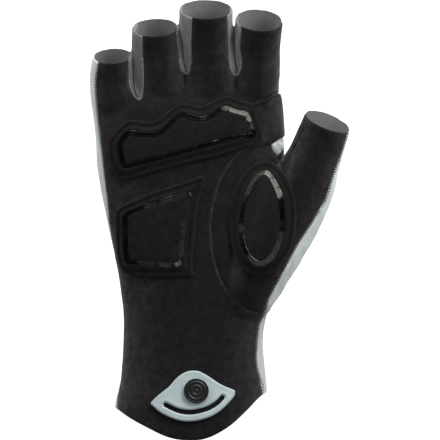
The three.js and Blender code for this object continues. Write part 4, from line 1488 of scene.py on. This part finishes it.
def wearer_side(obj):
    """For each face of a panel: whether it lies on the hollow, on the wearer's side."""
    coords, normals, on_outer = skin_facts(obj)
    near = np.array([inner_tree.find_nearest(co)[3] < 0.3 * MM for co in coords])
    marks = []
    for polygon in obj.data.polygons:
        corners = list(polygon.vertices)
        outward = normals[corners].mean(axis=0)
        marks.append(bool(near[corners].all()) and np.dot(polygon.normal, outward) < 0.2)
    return marks


panel_finish = {
    "palm_panel": (suede, "suede"),
    "index_overlay": (suede, "suede"),
    "thumb_panel": (suede, "suede"),
    "thumb_gusset": (suede, "suede"),
    "fourchette_little_ring": (grey_strip, "grey_strip"),
    "fourchette_ring_middle": (grey_strip, "grey_strip"),
    "fourchette_middle_index": (grey_strip, "grey_strip"),
    "back_panel": (silver_knit, "silver_knit"),
    "cuff_back": (warm_knit, "warm_knit"),
}
MOST_TRIANGLES = 170_000


def thin_out(obj, most):
    """Brings a dense mesh down to a number of triangles."""
    count = sum(len(polygon.vertices) - 2 for polygon in obj.data.polygons)
    if count > most:
        fewer = obj.modifiers.new("fewer", "DECIMATE")
        fewer.ratio = most / count
        apply_modifiers(obj)


for panel_name, panel in panels.items():
    thin_out(panel, MOST_TRIANGLES)
    worn_inside = wearer_side(panel)
    push(panel, panel_shapes[panel_name])
    material, slot_name = panel_finish[panel_name]
    finish_piece(panel, panel_name + "_cloth", (material, inside_cloth), (panel_name,))
    panel.data.polygons.foreach_set("material_index", [int(mark) for mark in worn_inside])
for pad_name, pad in pads.items():
    finish_piece(pad, pad_name + "_pad_cover", (pad_suede,), (pad_name + "_pad",))
    finish_piece(prints[pad_name], pad_name + "_print_line", (gloss_print,), (pad_name + "_print",))
finish_piece(patch, "snap_patch_moulding", (pale_rubber,), ("snap_patch",), sharp=60)
finish_piece(snap, "press_snap", (snap_black,), ("snap",), sharp=60)
for piece in stitches + side_threads + overlay_threads + [arc_threads]:
    finish_piece(piece, piece.name, (dark_thread,))
for piece in fork_threads:
    finish_piece(piece, piece.name, (grey_thread,))
remove(outer_skin, inner_skin)

# Stage: a pale floor that runs up into a backdrop all round
stage_material, stage_shader = new_material("stage_white", 0.9)
stage_shader.inputs["Base Color"].default_value = (0.95, 0.95, 0.95, 1)
stage_shader.inputs["Emission Color"].default_value = (1, 1, 1, 1)
stage_shader.inputs["Emission Strength"].default_value = 1.1
STAGE_RADIUS = 4.6
STAGE_BEND = 1.6
FLOOR_UP = -0.09
STAGE_TOP = 5.0
STAGE_SIDES = 64
stage_rows = [(STAGE_RADIUS - STAGE_BEND, FLOOR_UP)]
for step in range(1, 13):
    angle = math.pi / 2 * step / 12
    stage_rows.append((
        STAGE_RADIUS - STAGE_BEND * (1 - math.sin(angle)),
        FLOOR_UP + STAGE_BEND * (1 - math.cos(angle)),
    ))
stage_rows.append((STAGE_RADIUS, STAGE_TOP))
stage_verts = []
for radius, up in stage_rows:
    for step in range(STAGE_SIDES):
        angle = 2 * math.pi * step / STAGE_SIDES
        stage_verts.append((radius * math.cos(angle), radius * math.sin(angle), up))
stage_faces = [tuple(range(STAGE_SIDES))]
for level in range(len(stage_rows) - 1):
    for step in range(STAGE_SIDES):
        a = level * STAGE_SIDES + step
        b = level * STAGE_SIDES + (step + 1) % STAGE_SIDES
        stage_faces.append((a, b, b + STAGE_SIDES, a + STAGE_SIDES))
stage = new_object("stage_sweep", stage_verts, stage_faces)
stage.data.materials.append(stage_material)
stage.data.shade_smooth()
stage.visible_diffuse = False
stage.visible_glossy = False
stage.visible_shadow = False

# Light
world = bpy.data.worlds.new("soft_world")
world.use_nodes = True
sky = world.node_tree.nodes["Background"]
sky.inputs["Strength"].default_value = 0.45
sky_place = world.node_tree.nodes.new("ShaderNodeTexCoord")
sky_axes = world.node_tree.nodes.new("ShaderNodeSeparateXYZ")
sky_range = world.node_tree.nodes.new("ShaderNodeMapRange")
sky_range.inputs["From Min"].default_value = -1
sky_tones = world.node_tree.nodes.new("ShaderNodeValToRGB")
SKY = ((0.0, 0.55), (0.36, 0.45), (0.45, 0.10), (0.60, 0.10), (0.74, 0.8))
for index, (share, tone) in enumerate(SKY):
    element = sky_tones.color_ramp.elements[index] if index < 2 else sky_tones.color_ramp.elements.new(share)
    element.position = share
    element.color = (tone, tone, tone, 1)
world.node_tree.links.new(sky_place.outputs["Generated"], sky_axes.inputs["Vector"])
world.node_tree.links.new(sky_axes.outputs["Z"], sky_range.inputs["Value"])
world.node_tree.links.new(sky_range.outputs["Result"], sky_tones.inputs["Fac"])
world.node_tree.links.new(sky_tones.outputs["Color"], sky.inputs["Color"])
bpy.context.scene.world = world


def soft_light(name, place, aim, size, power, mirrored=True):
    data = bpy.data.lights.new(name, "AREA")
    data.shape = "RECTANGLE"
    data.size, data.size_y = size
    data.energy = power
    obj = bpy.data.objects.new(name, data)
    obj.location = place
    obj.rotation_euler = (Vector(aim) - Vector(place)).to_track_quat("-Z", "Y").to_euler()
    obj.visible_camera = False
    obj.visible_glossy = mirrored
    bpy.context.scene.collection.objects.link(obj)


GLOVE_MIDDLE = (0.0145, 0.0, 0.09)
soft_light("key_left", (-1.0, -0.62, 0.55), GLOVE_MIDDLE, (0.6, 0.8), 5, mirrored=False)
soft_light("fill_right", (0.95, -0.72, 0.4), GLOVE_MIDDLE, (0.5, 0.9), 6, mirrored=False)
soft_light("over_right", (0.5, -0.62, 1.02), GLOVE_MIDDLE, (0.5, 0.5), 6.8)
soft_light("top", (0.0, -0.15, 1.1), GLOVE_MIDDLE, (0.9, 0.6), 3.5)
soft_light("back_left", (-0.8, 0.9, 0.6), GLOVE_MIDDLE, (0.7, 0.8), 6)
soft_light("back_right", (0.8, 0.9, 0.3), GLOVE_MIDDLE, (0.7, 0.8), 6)

# Camera: level, straight on to the palm, at the photograph's framing
CAMERA_LENS = 400
camera_data = bpy.data.cameras.new("camera")
camera_data.lens = CAMERA_LENS
camera_data.sensor_width = 36
camera_data.sensor_fit = "HORIZONTAL"
camera_data.clip_end = 30
camera = bpy.data.objects.new("camera", camera_data)
camera.location = (GLOVE_MIDDLE[0], -0.01 - 0.22 * CAMERA_LENS / 36, GLOVE_MIDDLE[2])
camera.rotation_euler = (math.pi / 2, 0, 0)
bpy.context.scene.collection.objects.link(camera)
bpy.context.scene.camera = camera
bpy.context.scene.view_settings.view_transform = "Standard"
